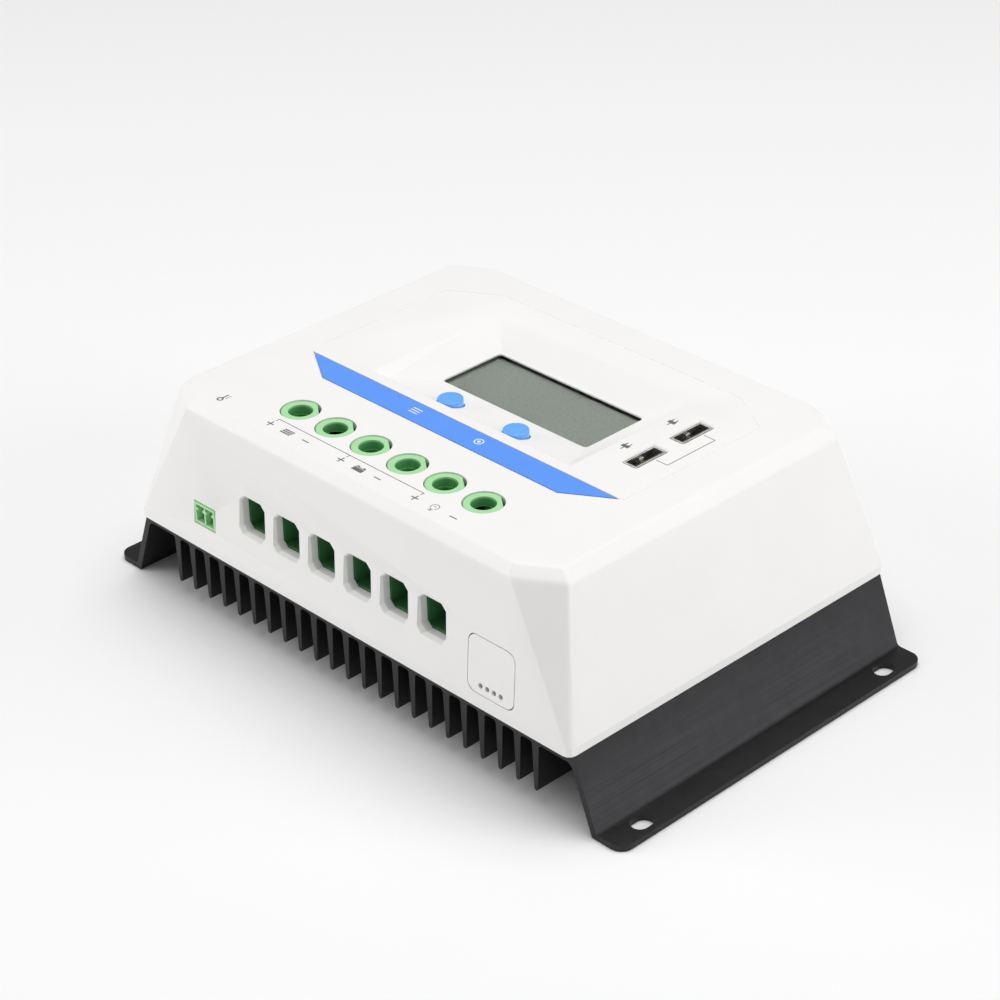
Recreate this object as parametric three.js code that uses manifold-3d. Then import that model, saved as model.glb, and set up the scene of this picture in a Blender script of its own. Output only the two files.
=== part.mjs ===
// Solar charge controller: a finned heat sink with mounting flanges, a moulded cover over it, and the
// boards, power parts and rising-cage terminals inside. Millimetres, +Z up. The origin is the centre of the
// mounting plane, X runs along the row of terminals, and the cable entries face -Y.
import * as THREE from "three";
import { ConvexGeometry } from "three/addons/geometries/ConvexGeometry.js";
import { mergeVertices } from "three/addons/utils/BufferGeometryUtils.js";
import Module from "manifold-3d";

// ---------------------------------------------------------------- driving dimensions

// fits
const gap = 0.3; // clearance between pieces that touch on the real unit
const slideFit = 0.35; // clearance on each side of a piece that slides

// heat sink
const overallLength = 214; // X, over the flanges
const sinkInset = 1.95; // the heat sink's ends behind the cover's skirt, along Y
const flangeThickness = 1.8;
const flangeCorner = 4;
const flangeWidth = 9.4; // from its edge to the outer face of the end wall
const wallTopInset = 0.3; // the end wall's top inside the cover's skirt, along X
const wallThickness = 2.1; // measured along X
const plateTop = 22.6;
const plateThickness = 2.6;
const finPitch = 6.87;
const finEndSpace = 9; // at least, from an end wall to the middle of the nearest fin
const finTipZ = 4.7;
const finRootWidth = 2.5;
const finTipWidth = 1.4;
const finRootFillet = 1;
const slotInsetX = 4.5; // from a flange's edge to the middle of its slots
const slotInsetY = 12.4; // from an end of the heat sink
const slotWidth = 5.2;
const slotLength = 7;

// cover
const coverHeight = 69.8; // overall height of the unit
const coverWidth = 180.2; // X at the skirt
const coverDepth = 128.7; // Y at the skirt
const coverCorner = 2.5;
const skirtHeight = 2.5;
const coverWall = 2.2;
const shoulderInsetX = 10.7; // from the skirt in to the outer edge of the top bevel
const shoulderInsetY = 2.75;
const shoulderChamferX = 12.9;
const shoulderChamferY = 8.3;
const bevelDrop = 3;
const bevelRunX = 3.5;
const bevelRunY = 2.8;
const panelInset = 15.4; // from the shoulder in to the octagon that is grooved into the top
const panelFront = -26.2;
const panelBack = 48.2;
const panelChamferX = 15.6;
const panelChamferY = 9.8;
const grooveWidth = 0.5;
const grooveDepth = 0.15;
const bandDepth = 8.9; // the label strip along the front of the panel
const labelThickness = 0.5;

// display recess: a rectangle in the top that slopes down on four sides to the window
const recessWidth = 81;
const recessFront = -13;
const recessBack = 37.5;
const recessCorner = 5;
const recessDrop = 5.7;
const lipRun = 3; // the front slope starts with a short steep lip
const lipDrop = 2.2;
const lipInset = 3.8; // how far the lip's lower edge is in from the recess's sides
const recessRim = 0.7; // ledge between the slopes and the window
const recessSkin = 0.9; // the wall under the recess, as a share of the cover's wall
const windowWidth = 58.8;
const windowDepth = 23.8;
const windowY = 16; // centre
const windowCorner = 1.5;
const windowLip = 0.5; // thickness of the cover round the window
const gasketWidth = 1.8;
const gasketMargin = 4; // how far the gasket reaches past the window
const gasketHeight = 1.1;
const lensThickness = 0.8;
const glassThickness = 2.4;
const backlightThickness = 1.6;
const displayBoardThickness = 1.6;

// buttons
const buttonX = 13.4;
const buttonY = -7.4;
const buttonRadius = 3.8;
const buttonRimDrop = 1.3; // from the cover's top down to the buttons' rims
const buttonDome = 0.5;
const buttonTravel = 0.8;
const buttonFlangeRadius = 4.8;
const buttonFlangeThickness = 1;
const switchBody = 6;
const switchHeight = 3.2;
const switchPlungerRadius = 1.7;

// terminals: a rising cage clamps the wire against a fixed contact
const terminalCount = 6;
const terminalPitch = 15;
const terminalSpacing = 1.4; // between neighbouring housings
const screwInset = 21.35; // from the cover's front skirt back to the clamp screws
const entryZ = 42.3; // centre of a cable entry
const entryWidth = 10.5;
const entryHeight = 11.8;
const entryChamfer = 1.8;
const entryFunnel = 0.9; // how much wider an entry is at the outside
const entryWall = 1.3; // a collar inside the cover carries each entry on to the housing
const collarRadius = 5.65;
const collarClearance = 0.35;
const collarFlat = 5; // distance of the collar's one flat from the screw
const collarFlatTurn = 53; // degrees from +X to the way the flat faces
const screwBore = 3.65; // radius of the screwdriver hole down to its ledge
const screwBoreDepth = 3;
const screwBoreLower = 3.45;
const housingBehind = 6.6; // from the clamp screws back to the housings' rear
const cageWidth = 9.4;
const cageDepth = 8;
const cageWall = 1.2;
const cageTopWall = 2.2;
const cageOpening = 7.6; // height for the wire with the clamp open
const cageTravel = 6.4;
const cageFloorZ = 37.2; // underside of the cage with the clamp open
const contactThickness = 1.3;
const contactWidth = 6.4;
const clampScrewRadius = 2.5;
const clampHeadRadius = 3.2;
const clampHeadHeight = 3;
const clampSlotWidth = 1.2;
const clampSlotDepth = 1.5;
const housingWeb = 1.5; // the web that carries the screw head

// boards and what stands on them
const spacerHeight = 5.9;
const boardThickness = 1.6;
const boardInsetX = 14.1; // from the cover's skirt in to the board
const boardInsetFront = 6.85;
const boardInsetBack = 23.35;
const spacerInset = 6; // from the board's edges
const spacerRadius = 3;
const spacerNeckRadius = 1.5;
const spacerHeadHeight = 2;
const usbBoardWidth = 17;
const usbBoardMargin = 11; // beyond the centres of the two sockets
const mosfetCount = 8;
const mosfetPitch = 14;
const mosfetBody = [10, 10, 4.4]; // X, Y, Z
const mosfetReach = 9; // from the board's back edge to the middle of the row
const mosfetLeg = 0.8;
const padThickness = 0.4;
const barThickness = 3;
const barWidth = 6;
const capacitorRadius = 8;
const capacitorHeight = 25;
const capacitorInset = 14; // from the board's left edge
const capacitorY = [-6, 14];
const inductorInset = 16; // from the board's right edge
const inductorY = -24;
const inductorRadii = [5, 11.5];
const inductorHeight = 11;
const linkLength = 21;
const linkWidth = 2.5;
const linkY = 31;
const displayBossX = 33;
const displayBossRadius = 2.4;

// cover fixings
const coverScrewInsetX = 8.1; // from the cover's skirt
const coverScrewInsetY = 11.35;
const coverScrewRadius = 1.3;
const coverScrewLength = 14;
const coverHeadRadius = 2.75;
const coverHeadHeight = 2.3;
const driveSlot = 0.9; // width and depth of the cross in a screw's head
const bossRadius = 3.3;
const bossTop = 44;

// sockets on the top and on the front
const usbInset = 28; // from the shoulder
const usbY = [4.9, 23.7];
const usbWidth = 4.7; // X
const usbLength = 12.2; // Y
const usbHeight = 13.6;
const usbWall = 0.5;
const usbBelowTop = 0.2;
const usbRim = 0.5; // chamfer round each socket's hole
const usbTongue = [1.4, 10.6, 8.4]; // X, Y, Z
const headerInset = 30.9; // from the cover's left skirt
const headerWidth = 9.2;
const headerHeight = 7;
const headerDepth = 9;
const headerWall = 0.8;
const headerFloor = 2;
const headerDivider = 0.6;
const keyWidth = 0.7; // a rib on each side of a chamber, near its top
const keyHeight = 0.9;
const keyDrop = 1; // from the chamber's top to the ribs
const pinSize = 0.8;
const pinPitch = 4.1;
const blankInset = 29.5; // from the cover's right skirt
const blankZ = 36.2;
const blankSize = 17.4;
const blankCorner = 3;
const blankThickness = 1.1;
const blankHoleRadius = 0.85;
const blankHolePitch = 2.54;
const blankHoleDrop = 6.1; // from the plate's centre down to its row of holes

// ---------------------------------------------------------------- places that follow from them

const sinkDepth = coverDepth - 2 * sinkInset;
const wallFootX = overallLength / 2 - flangeWidth; // outer face of an end wall at the flange
const wallTopX = coverWidth / 2 - wallTopInset; // and at the top of the base plate
const slotX = overallLength / 2 - slotInsetX;
const slotY = sinkDepth / 2 - slotInsetY;
const shoulderWidth = coverWidth - 2 * shoulderInsetX;
const shoulderDepth = coverDepth - 2 * shoulderInsetY;
const panelWidth = shoulderWidth - 2 * panelInset;
const terminalWidth = terminalPitch - terminalSpacing;
const screwY = screwInset - coverDepth / 2;
const housingBack = screwY + housingBehind;
const boardWidth = coverWidth - 2 * boardInsetX;
const boardFront = boardInsetFront - coverDepth / 2;
const boardBack = coverDepth / 2 - boardInsetBack;
const spacerX = boardWidth / 2 - spacerInset;
const mosfetRowY = boardBack + mosfetReach;
const capacitorX = capacitorInset - boardWidth / 2;
const inductorX = boardWidth / 2 - inductorInset;
const coverScrewX = coverWidth / 2 - coverScrewInsetX;
const coverScrewY = coverDepth / 2 - coverScrewInsetY;
const usbX = shoulderWidth / 2 - usbInset;
const headerX = headerInset - coverWidth / 2;
const blankX = coverWidth / 2 - blankInset;

// ---------------------------------------------------------------- solids and cutting

const wasm = await Module();
wasm.setup();

function solid(geometry) {
  const bare = geometry.index ? geometry.toNonIndexed() : geometry.clone();
  bare.deleteAttribute("normal");
  bare.deleteAttribute("uv");
  const merged = mergeVertices(bare, 1e-4);
  const mesh = new wasm.Mesh({
    numProp: 3,
    vertProperties: new Float32Array(merged.attributes.position.array),
    triVerts: new Uint32Array(merged.index.array),
  });
  return new wasm.Manifold(mesh);
}

const join = (pieces) => pieces.reduce((sum, piece) => sum.add(piece));
const cut = (body, pieces) => pieces.reduce((left, piece) => left.subtract(piece), body);

// A box between two corners.
function block(x0, x1, y0, y1, z0, z1) {
  const box = new THREE.BoxGeometry(x1 - x0, y1 - y0, z1 - z0);
  box.translate((x0 + x1) / 2, (y0 + y1) / 2, (z0 + z1) / 2);
  return solid(box);
}

// A box centred on x and y.
function post(x, y, width, depth, z0, z1) {
  return block(x - width / 2, x + width / 2, y - depth / 2, y + depth / 2, z0, z1);
}

// A round bar along Z; a second radius makes a cone whose top has that radius.
function rod(x, y, z0, z1, radius, sides = 24, topRadius = radius) {
  const bar = new THREE.CylinderGeometry(topRadius, radius, z1 - z0, sides);
  bar.rotateX(Math.PI / 2);
  bar.translate(x, y, (z0 + z1) / 2);
  return solid(bar);
}

// A round bar along Y.
function rodY(x, z, y0, y1, radius, sides = 16) {
  const bar = new THREE.CylinderGeometry(radius, radius, y1 - y0, sides);
  bar.translate(x, (y0 + y1) / 2, z);
  return solid(bar);
}

// A flat outline in X and Y, raised from z0 to z1.
function raise(shape, z0, z1, curveSegments = 4) {
  const flat = new THREE.ExtrudeGeometry(shape, { depth: z1 - z0, bevelEnabled: false, curveSegments });
  flat.translate(0, 0, z0);
  return solid(flat);
}

// An outline drawn in X and Z, carried along Y from y0 to y1.
function along(shape, y0, y1, curveSegments = 4) {
  const bar = new THREE.ExtrudeGeometry(shape, { depth: y1 - y0, bevelEnabled: false, curveSegments });
  bar.rotateX(Math.PI / 2);
  bar.translate(0, y1, 0);
  return solid(bar);
}

function roundedRectangle(x0, x1, y0, y1, radius) {
  const shape = new THREE.Shape();
  shape.moveTo(x0 + radius, y0);
  shape.lineTo(x1 - radius, y0);
  shape.absarc(x1 - radius, y0 + radius, radius, -Math.PI / 2, 0);
  shape.lineTo(x1, y1 - radius);
  shape.absarc(x1 - radius, y1 - radius, radius, 0, Math.PI / 2);
  shape.lineTo(x0 + radius, y1);
  shape.absarc(x0 + radius, y1 - radius, radius, Math.PI / 2, Math.PI);
  shape.lineTo(x0, y0 + radius);
  shape.absarc(x0 + radius, y0 + radius, radius, Math.PI, 1.5 * Math.PI);
  return shape;
}

// A rectangle with its four corners cut off, as a list of points.
function octagon(x0, x1, y0, y1, chamferX, chamferY) {
  return [
    [x0 + chamferX, y0],
    [x1 - chamferX, y0],
    [x1, y0 + chamferY],
    [x1, y1 - chamferY],
    [x1 - chamferX, y1],
    [x0 + chamferX, y1],
    [x0, y1 - chamferY],
    [x0, y0 + chamferY],
  ];
}

const outline = (points) => new THREE.Shape(points.map(([x, y]) => new THREE.Vector2(x, y)));
const level = (points, z) => points.map(([x, y]) => new THREE.Vector3(x, y, z));
const hull = (points) => solid(new ConvexGeometry(points));

// The points of a rounded rectangle; a corner radius may differ between front and back.
function roundedPoints(x0, x1, y0, y1, frontRadius, backRadius, steps = 3) {
  const corners = [
    [x1, y0, -1, 1, frontRadius, -90],
    [x1, y1, -1, -1, backRadius, 0],
    [x0, y1, 1, -1, backRadius, 90],
    [x0, y0, 1, 1, frontRadius, 180],
  ];
  const points = [];
  for (const [x, y, inX, inY, radius, startAngle] of corners) {
    if (radius === 0) {
      points.push([x, y]);
      continue;
    }
    for (let step = 0; step <= steps; step++) {
      const angle = THREE.MathUtils.degToRad(startAngle + (90 * step) / steps);
      const centreX = x + inX * radius;
      const centreY = y + inY * radius;
      points.push([centreX + radius * Math.cos(angle), centreY + radius * Math.sin(angle)]);
    }
  }
  return points;
}

// ---------------------------------------------------------------- materials

const paint = (color, roughness, metalness = 0) =>
  new THREE.MeshStandardMaterial({ color, roughness, metalness });
const finish = {
  anodised: () => paint(0x38393a, 0.5, 0.6),
  whiteAbs: () => paint(0xf6f6f4, 0.5),
  blueLabel: () => paint(0x699eff, 0.5),
  blueButton: () => paint(0x6aaeff, 0.35),
  greenPlastic: () => paint(0x9be39a, 0.45),
  clear: () => paint(0xdfe8e4, 0.05),
  lcd: () => paint(0x98a094, 0.2),
  blackFoam: () => paint(0x1c1c1c, 0.9),
  circuitBoard: () => paint(0x1f6b3a, 0.5),
  blackPlastic: () => paint(0x222324, 0.5),
  steel: () => paint(0xb9bcc0, 0.3, 1),
  brass: () => paint(0xc9a04c, 0.3, 1),
  copper: () => paint(0xb87333, 0.35, 1),
  can: () => paint(0x2a3550, 0.3, 0.2),
  pad: () => paint(0xb8c4d8, 0.8),
};

const controller = new THREE.Group();

function add(name, body, material) {
  const { vertProperties, triVerts } = body.getMesh();
  const geometry = new THREE.BufferGeometry();
  geometry.setAttribute("position", new THREE.BufferAttribute(new Float32Array(vertProperties), 3));
  geometry.setIndex(new THREE.BufferAttribute(new Uint32Array(triVerts), 1));
  geometry.computeVertexNormals();
  const mesh = new THREE.Mesh(geometry, material);
  mesh.name = name;
  controller.add(mesh);
}

// ---------------------------------------------------------------- heat sink

const plateBottom = plateTop - plateThickness;
const wallLean = (wallFootX - wallTopX) / (plateTop - flangeThickness); // X per Z
const wallOuterX = (z) => wallTopX + (plateTop - z) * wallLean;
const wallInnerX = (z) => wallOuterX(z) - wallThickness;
const finRoom = Math.min(wallInnerX(plateBottom), wallInnerX(finTipZ)) - finEndSpace;
const finCount = 2 * Math.floor(finRoom / finPitch) + 1;

function finnedOutline() {
  const right = [
    [wallInnerX(0), 0],
    [overallLength / 2, 0],
    [overallLength / 2, flangeThickness],
    [wallFootX + 0.5, flangeThickness],
    [wallOuterX(flangeThickness + 0.6), flangeThickness + 0.6],
    [wallTopX, plateTop],
  ];
  const shape = new THREE.Shape();
  shape.moveTo(...right[0]);
  for (const point of right.slice(1)) shape.lineTo(...point);
  for (const [x, z] of right.slice().reverse()) shape.lineTo(-x, z);
  // the underside, from the left wall over every fin to the right wall
  shape.lineTo(-wallInnerX(plateBottom - finRootFillet), plateBottom - finRootFillet);
  shape.lineTo(-wallInnerX(plateBottom) + finRootFillet, plateBottom);
  for (let fin = 0; fin < finCount; fin++) {
    const x = (fin - (finCount - 1) / 2) * finPitch;
    const tipRadius = finTipWidth / 2;
    const filletX = finRootWidth / 2 + finRootFillet;
    const filletZ = plateBottom - finRootFillet;
    shape.absarc(x - filletX, filletZ, finRootFillet, Math.PI / 2, 0, true);
    shape.absarc(x, finTipZ + tipRadius, tipRadius, Math.PI, 2 * Math.PI);
    shape.absarc(x + filletX, filletZ, finRootFillet, Math.PI, Math.PI / 2, true);
  }
  shape.lineTo(wallInnerX(plateBottom) - finRootFillet, plateBottom);
  shape.lineTo(wallInnerX(plateBottom - finRootFillet), plateBottom - finRootFillet);
  return shape;
}

const signs = [-1, 1];
const fourCorners = (x, y) => signs.flatMap((sx) => signs.map((sy) => [sx * x, sy * y]));

function heatSink() {
  const fins = along(finnedOutline(), -sinkDepth / 2, sinkDepth / 2, 3);
  const footprint = roundedRectangle(
    -overallLength / 2, overallLength / 2, -sinkDepth / 2, sinkDepth / 2, flangeCorner);
  const slots = fourCorners(slotX, slotY).map(([x, y]) => {
    const half = [slotWidth / 2, slotLength / 2];
    const slot = roundedRectangle(x - half[0], x + half[0], y - half[1], y + half[1], slotWidth / 2 - 0.01);
    return raise(slot, -1, flangeThickness + 1, 8);
  });
  const screwHoles = fourCorners(coverScrewX, coverScrewY).map(([x, y]) =>
    rod(x, y, plateBottom - 1, plateTop + 1, coverScrewRadius + gap, 16));
  return cut(fins.intersect(raise(footprint, -1, plateTop + 1)), [...slots, ...screwHoles]);
}
add("heat_sink", heatSink(), finish.anodised());

// ---------------------------------------------------------------- cover

const coverBottom = plateTop + gap;
const skirtTop = coverBottom + skirtHeight;
const shoulderZ = coverHeight - bevelDrop;
const bevelChamferX = shoulderChamferX - bevelRunX / 2;
const bevelChamferY = (bevelChamferX * shoulderChamferY) / shoulderChamferX;

// Half-width of the tapered walls at a height between the skirt and the shoulder.
const taper = (low, high, z) => low + ((high - low) * (z - skirtTop)) / (shoulderZ - skirtTop);
const frontWallY = (z) => -taper(coverDepth / 2, shoulderDepth / 2, z);
const frontWallTilt = Math.atan((coverDepth - shoulderDepth) / 2 / (shoulderZ - skirtTop));

// The closed outer form of the cover, shrunk by inset on every face.
function coverForm(inset, bottom) {
  const x = coverWidth / 2 - inset;
  const y = coverDepth / 2 - inset;
  const skirt = roundedPoints(-x, x, -y, y, coverCorner, coverCorner);
  const shoulderX = shoulderWidth / 2 - inset;
  const shoulderY = shoulderDepth / 2 - inset;
  const shoulder = octagon(-shoulderX, shoulderX, -shoulderY, shoulderY, shoulderChamferX, shoulderChamferY);
  const topX = shoulderX - bevelRunX;
  const topY = shoulderY - bevelRunY;
  const top = octagon(-topX, topX, -topY, topY, bevelChamferX, bevelChamferY);
  return hull([
    ...level(skirt, bottom),
    ...level(skirt, skirtTop),
    ...level(shoulder, shoulderZ - inset),
    ...level(top, coverHeight - inset),
  ]);
}

const windowZ = coverHeight - recessDrop;
const windowHalfX = windowWidth / 2;
const windowFront = windowY - windowDepth / 2;
const windowBack = windowY + windowDepth / 2;

// The recess as a closed form, grown by margin on the sides and below.
function recessForm(margin) {
  const top = roundedPoints(
    -recessWidth / 2 - margin, recessWidth / 2 + margin,
    recessFront - margin, recessBack + margin, 0, recessCorner);
  const lipX = recessWidth / 2 - lipInset + margin;
  const lipY = recessFront + lipRun - margin;
  const floorX = windowHalfX + recessRim + margin;
  const floorFront = windowFront - recessRim - margin;
  const floorBack = windowBack + recessRim + margin;
  return hull([
    ...level(top, coverHeight + 0.01),
    ...level([[-lipX, lipY], [lipX, lipY]], coverHeight - lipDrop - margin),
    ...level(octagon(-floorX, floorX, floorFront, floorBack, 0.4, 0.4), windowZ - margin),
  ]);
}

// Height of the cover's inner face under the recess's front slope, at y.
function underFrontSlope(y) {
  const thick = coverWall * recessSkin;
  const [y0, z0] = [recessFront + lipRun - thick, coverHeight - lipDrop - thick];
  const [y1, z1] = [windowFront - recessRim - thick, windowZ - thick];
  return z0 + ((z1 - z0) * (y - y0)) / (y1 - y0);
}

const panel = (inset) => octagon(
  -panelWidth / 2 + inset, panelWidth / 2 - inset, panelFront + inset, panelBack - inset,
  panelChamferX, panelChamferY);

// The label strip: its slanted ends run along the panel's two front chamfers.
function bandOutline(inset) {
  const slope = panelChamferX / panelChamferY;
  const edge = panelFront + grooveWidth;
  const corner = panelWidth / 2 - panelChamferX - grooveWidth - inset * Math.hypot(1, slope);
  const front = edge + inset;
  const back = edge + bandDepth - inset;
  const frontX = corner + slope * (front - edge);
  const backX = corner + slope * (back - edge);
  return outline([[-frontX, front], [frontX, front], [backX, back], [-backX, back]]);
}

// Evenly spaced positions either side of the middle.
const row = (count, pitch) => Array.from({ length: count }, (_, i) => (i - (count - 1) / 2) * pitch);
const terminalX = row(terminalCount, terminalPitch);
const boardBottom = plateTop + gap + spacerHeight + gap;
const boardTop = boardBottom + boardThickness;

// Heights inside a terminal, and where its housing stands.
const cageTopZ = cageFloorZ + cageWall + cageOpening + gap + contactThickness + gap + cageTopWall;
const contactBottom = cageFloorZ + cageWall + cageOpening;
const chamberTop = cageTopZ + cageTravel + slideFit;
const webTop = chamberTop + housingWeb;
const collarTop = coverHeight - gap;
const housingFront = frontWallY(webTop) + coverWall + gap;
const housingBottom = boardTop + gap;

// The outline of a cable entry, seen from the front and grown by margin.
function entryOutline(x, margin) {
  const half = [entryWidth / 2 + margin, entryHeight / 2 + margin];
  return octagon(x - half[0], x + half[0], entryZ - half[1], entryZ + half[1], entryChamfer, entryChamfer);
}

// A cable entry that widens towards the outside.
function cableEntry(x) {
  const face = frontWallY(entryZ);
  const placed = (points, y) => points.map(([px, pz]) => new THREE.Vector3(px, y, pz));
  const funnel = hull([
    ...placed(entryOutline(x, entryFunnel), face - 1),
    ...placed(entryOutline(x, 0), face + 1),
  ]);
  return funnel.add(along(outline(entryOutline(x, 0)), face, face + coverWall + 4));
}

// A shape drawn flat on the front wall round (x, z), sunk from outside to the given depth.
function sunkInFront(shape, x, z, depth, proud = 2) {
  const sunk = new THREE.ExtrudeGeometry(
    shape, { depth: depth + proud, bevelEnabled: false, curveSegments: 4 });
  sunk.translate(0, 0, -depth);
  sunk.rotateX(Math.PI / 2 - frontWallTilt);
  sunk.translate(x, frontWallY(z), z);
  return solid(sunk);
}

const square = (size, radius) => roundedRectangle(-size / 2, size / 2, -size / 2, size / 2, radius);
const gasketX = windowHalfX + gasketMargin;
const gasketFront = windowFront - gasketMargin;
const gasketBack = windowBack + gasketMargin;
const lensX = gasketX - gasketWidth; // the gasket's inside, which holds the window's lens
const lensFront = gasketFront + gasketWidth;
const lensBack = gasketBack - gasketWidth;

const gasketTop = windowZ - windowLip - gap;
const gasketBottom = gasketTop - gasketHeight;
const glassTop = gasketBottom - gap;
const glassBottom = glassTop - glassThickness;
const backlightTop = glassBottom - gap;
const backlightBottom = backlightTop - backlightThickness;
const displayBoardTop = backlightBottom - gap;
const displayBoardBottom = displayBoardTop - displayBoardThickness;
const displayBoardFront = buttonY - 6;
const displayBoardBack = gasketBack + 6;
const displayBoardX = displayBossX + 3;

function usbHole(y) {
  const half = [usbWidth / 2 + slideFit, usbLength / 2 + slideFit];
  const inner = octagon(usbX - half[0], usbX + half[0], y - half[1], y + half[1], 0.3, 0.3);
  const outer = octagon(
    usbX - half[0] - usbRim, usbX + half[0] + usbRim, y - half[1] - usbRim, y + half[1] + usbRim, 0.6, 0.6);
  const rim = hull([...level(inner, coverHeight - usbRim), ...level(outer, coverHeight + 0.01)]);
  return rim.add(raise(outline(inner), coverHeight - coverWall - 1, coverHeight + 1));
}

function cover() {
  const cavity = coverForm(coverWall, coverBottom - 1).subtract(recessForm(coverWall * recessSkin));
  const shell = coverForm(0, coverBottom).subtract(cavity);
  const bosses = fourCorners(coverScrewX, coverScrewY).map(([x, y]) => {
    const rib = block(Math.min(x, x + Math.sign(x) * 5), Math.max(x, x + Math.sign(x) * 5),
      y - 0.8, y + 0.8, bossTop - 14, bossTop);
    return rod(x, y, coverBottom, bossTop, bossRadius, 16).add(rib);
  });
  const within = coverForm(coverWall / 2, coverBottom);
  const boardBosses = signs.flatMap((s) => [displayBoardFront + 3, displayBoardBack - 3].map((y) =>
    rod(s * displayBossX, y, displayBoardTop + gap, coverHeight - coverWall / 2, displayBossRadius, 16)));
  const entryCollars = terminalX.map((x) =>
    along(outline(entryOutline(x, entryWall)), frontWallY(entryZ) + 1, housingFront - gap));
  const ribbed = join([
    shell, ...bosses.map((boss) => boss.intersect(within)), ...boardBosses, ...entryCollars]);
  const holes = [
    recessForm(0),
    raise(roundedRectangle(-windowHalfX, windowHalfX, windowFront, windowBack, windowCorner),
      windowZ - 5, windowZ + 5),
    raise(roundedRectangle(-gasketX - gap, gasketX + gap, gasketFront - gap, gasketBack + gap, 1),
      windowZ - windowLip - 6, windowZ - windowLip, 2),
    raise(outline(panel(0)), coverHeight - grooveDepth, coverHeight + 1).subtract(
      raise(outline(panel(grooveWidth)), coverHeight - 1, coverHeight + 2)),
    raise(bandOutline(-gap / 2), coverHeight - labelThickness - gap, coverHeight + 1),
    ...terminalX.map(cableEntry),
    ...terminalX.map((x) =>
      rod(x, screwY, coverHeight - coverWall - 1, coverHeight + 1, collarRadius + collarClearance, 40)),
    ...signs.map((s) => rod(s * buttonX, buttonY, windowZ - 3, coverHeight + 1, buttonRadius + slideFit, 28)),
    ...usbY.map(usbHole),
    block(headerX - headerWidth / 2 - gap, headerX + headerWidth / 2 + gap,
      -coverDepth / 2 - 1, -coverDepth / 2 + coverWall + 2, boardTop, boardTop + headerHeight + 2 * gap),
    sunkInFront(square(blankSize + 2 * gap, blankCorner), blankX, blankZ, blankThickness + gap),
    sunkInFront(square(blankSize - 3, blankCorner), blankX, blankZ, coverWall + 2),
    ...fourCorners(coverScrewX, coverScrewY).map(([x, y]) =>
      rod(x, y, coverBottom - 1, plateBottom + coverScrewLength + 1, coverScrewRadius + gap, 16)),
  ];
  return cut(ribbed, holes);
}
add("cover", cover(), finish.whiteAbs());

add("front_label",
  raise(bandOutline(gap / 2), coverHeight - labelThickness, coverHeight), finish.blueLabel());

function blankPlate() {
  const plate = new THREE.ExtrudeGeometry(
    square(blankSize, blankCorner), { depth: blankThickness, bevelEnabled: false, curveSegments: 4 });
  let body = solid(plate);
  for (let i = 0; i < 4; i++) {
    const hole = rod((i - 1.5) * blankHolePitch, -blankHoleDrop, -1, blankThickness + 1, blankHoleRadius, 12);
    body = body.subtract(hole);
  }
  return body
    .translate([0, 0, -blankThickness])
    .rotate([90 - THREE.MathUtils.radToDeg(frontWallTilt), 0, 0])
    .translate([blankX, frontWallY(blankZ), blankZ]);
}
add("comm_port_blank", blankPlate(), finish.whiteAbs());

// ---------------------------------------------------------------- display

add("lcd_gasket",
  raise(roundedRectangle(-gasketX, gasketX, gasketFront, gasketBack, 1), gasketBottom, gasketTop, 2).subtract(
    raise(roundedRectangle(-lensX, lensX, lensFront, lensBack, windowCorner),
      gasketBottom - 1, gasketTop + 1)),
  finish.blackFoam());
add("lcd_window",
  raise(roundedRectangle(-lensX + gap, lensX - gap, lensFront + gap, lensBack - gap, windowCorner),
    gasketBottom, gasketBottom + lensThickness), finish.clear());
add("lcd_glass", block(-gasketX + 1, gasketX - 1, gasketFront + 0.6, gasketBack - 0.6, glassBottom, glassTop),
  finish.lcd());
add("lcd_backlight", block(-gasketX, gasketX, gasketFront, gasketBack, backlightBottom, backlightTop),
  finish.whiteAbs());

add("display_board",
  block(-displayBoardX, displayBoardX, displayBoardFront, displayBoardBack,
    displayBoardBottom, displayBoardTop),
  finish.circuitBoard());

const buttonRimZ = coverHeight - buttonRimDrop;
const buttonFlangeTop = underFrontSlope(buttonY + buttonFlangeRadius) - gap;
const buttonBottom = buttonFlangeTop - buttonFlangeThickness;
["menu", "set"].forEach((label, index) => {
  const x = signs[index] * buttonX;
  const dome = solid(new THREE.SphereGeometry(buttonRadius, 24, 12).rotateX(Math.PI / 2)
    .scale(1, 1, buttonDome / buttonRadius).translate(x, buttonY, buttonRimZ));
  const cap = join([
    rod(x, buttonY, buttonBottom, buttonFlangeTop, buttonFlangeRadius, 24),
    rod(x, buttonY, buttonFlangeTop - 0.5, buttonRimZ, buttonRadius, 24),
    dome,
  ]);
  add(label + "_button", cap, finish.blueButton());
  const switchZ = displayBoardTop + gap;
  const plungerTop = buttonBottom - buttonTravel - gap;
  add(label + "_switch",
    post(x, buttonY, switchBody, switchBody, switchZ, switchZ + switchHeight).add(
      rod(x, buttonY, switchZ + 1, plungerTop, switchPlungerRadius, 16)),
    finish.blackPlastic());
});

// ---------------------------------------------------------------- terminals

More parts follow.
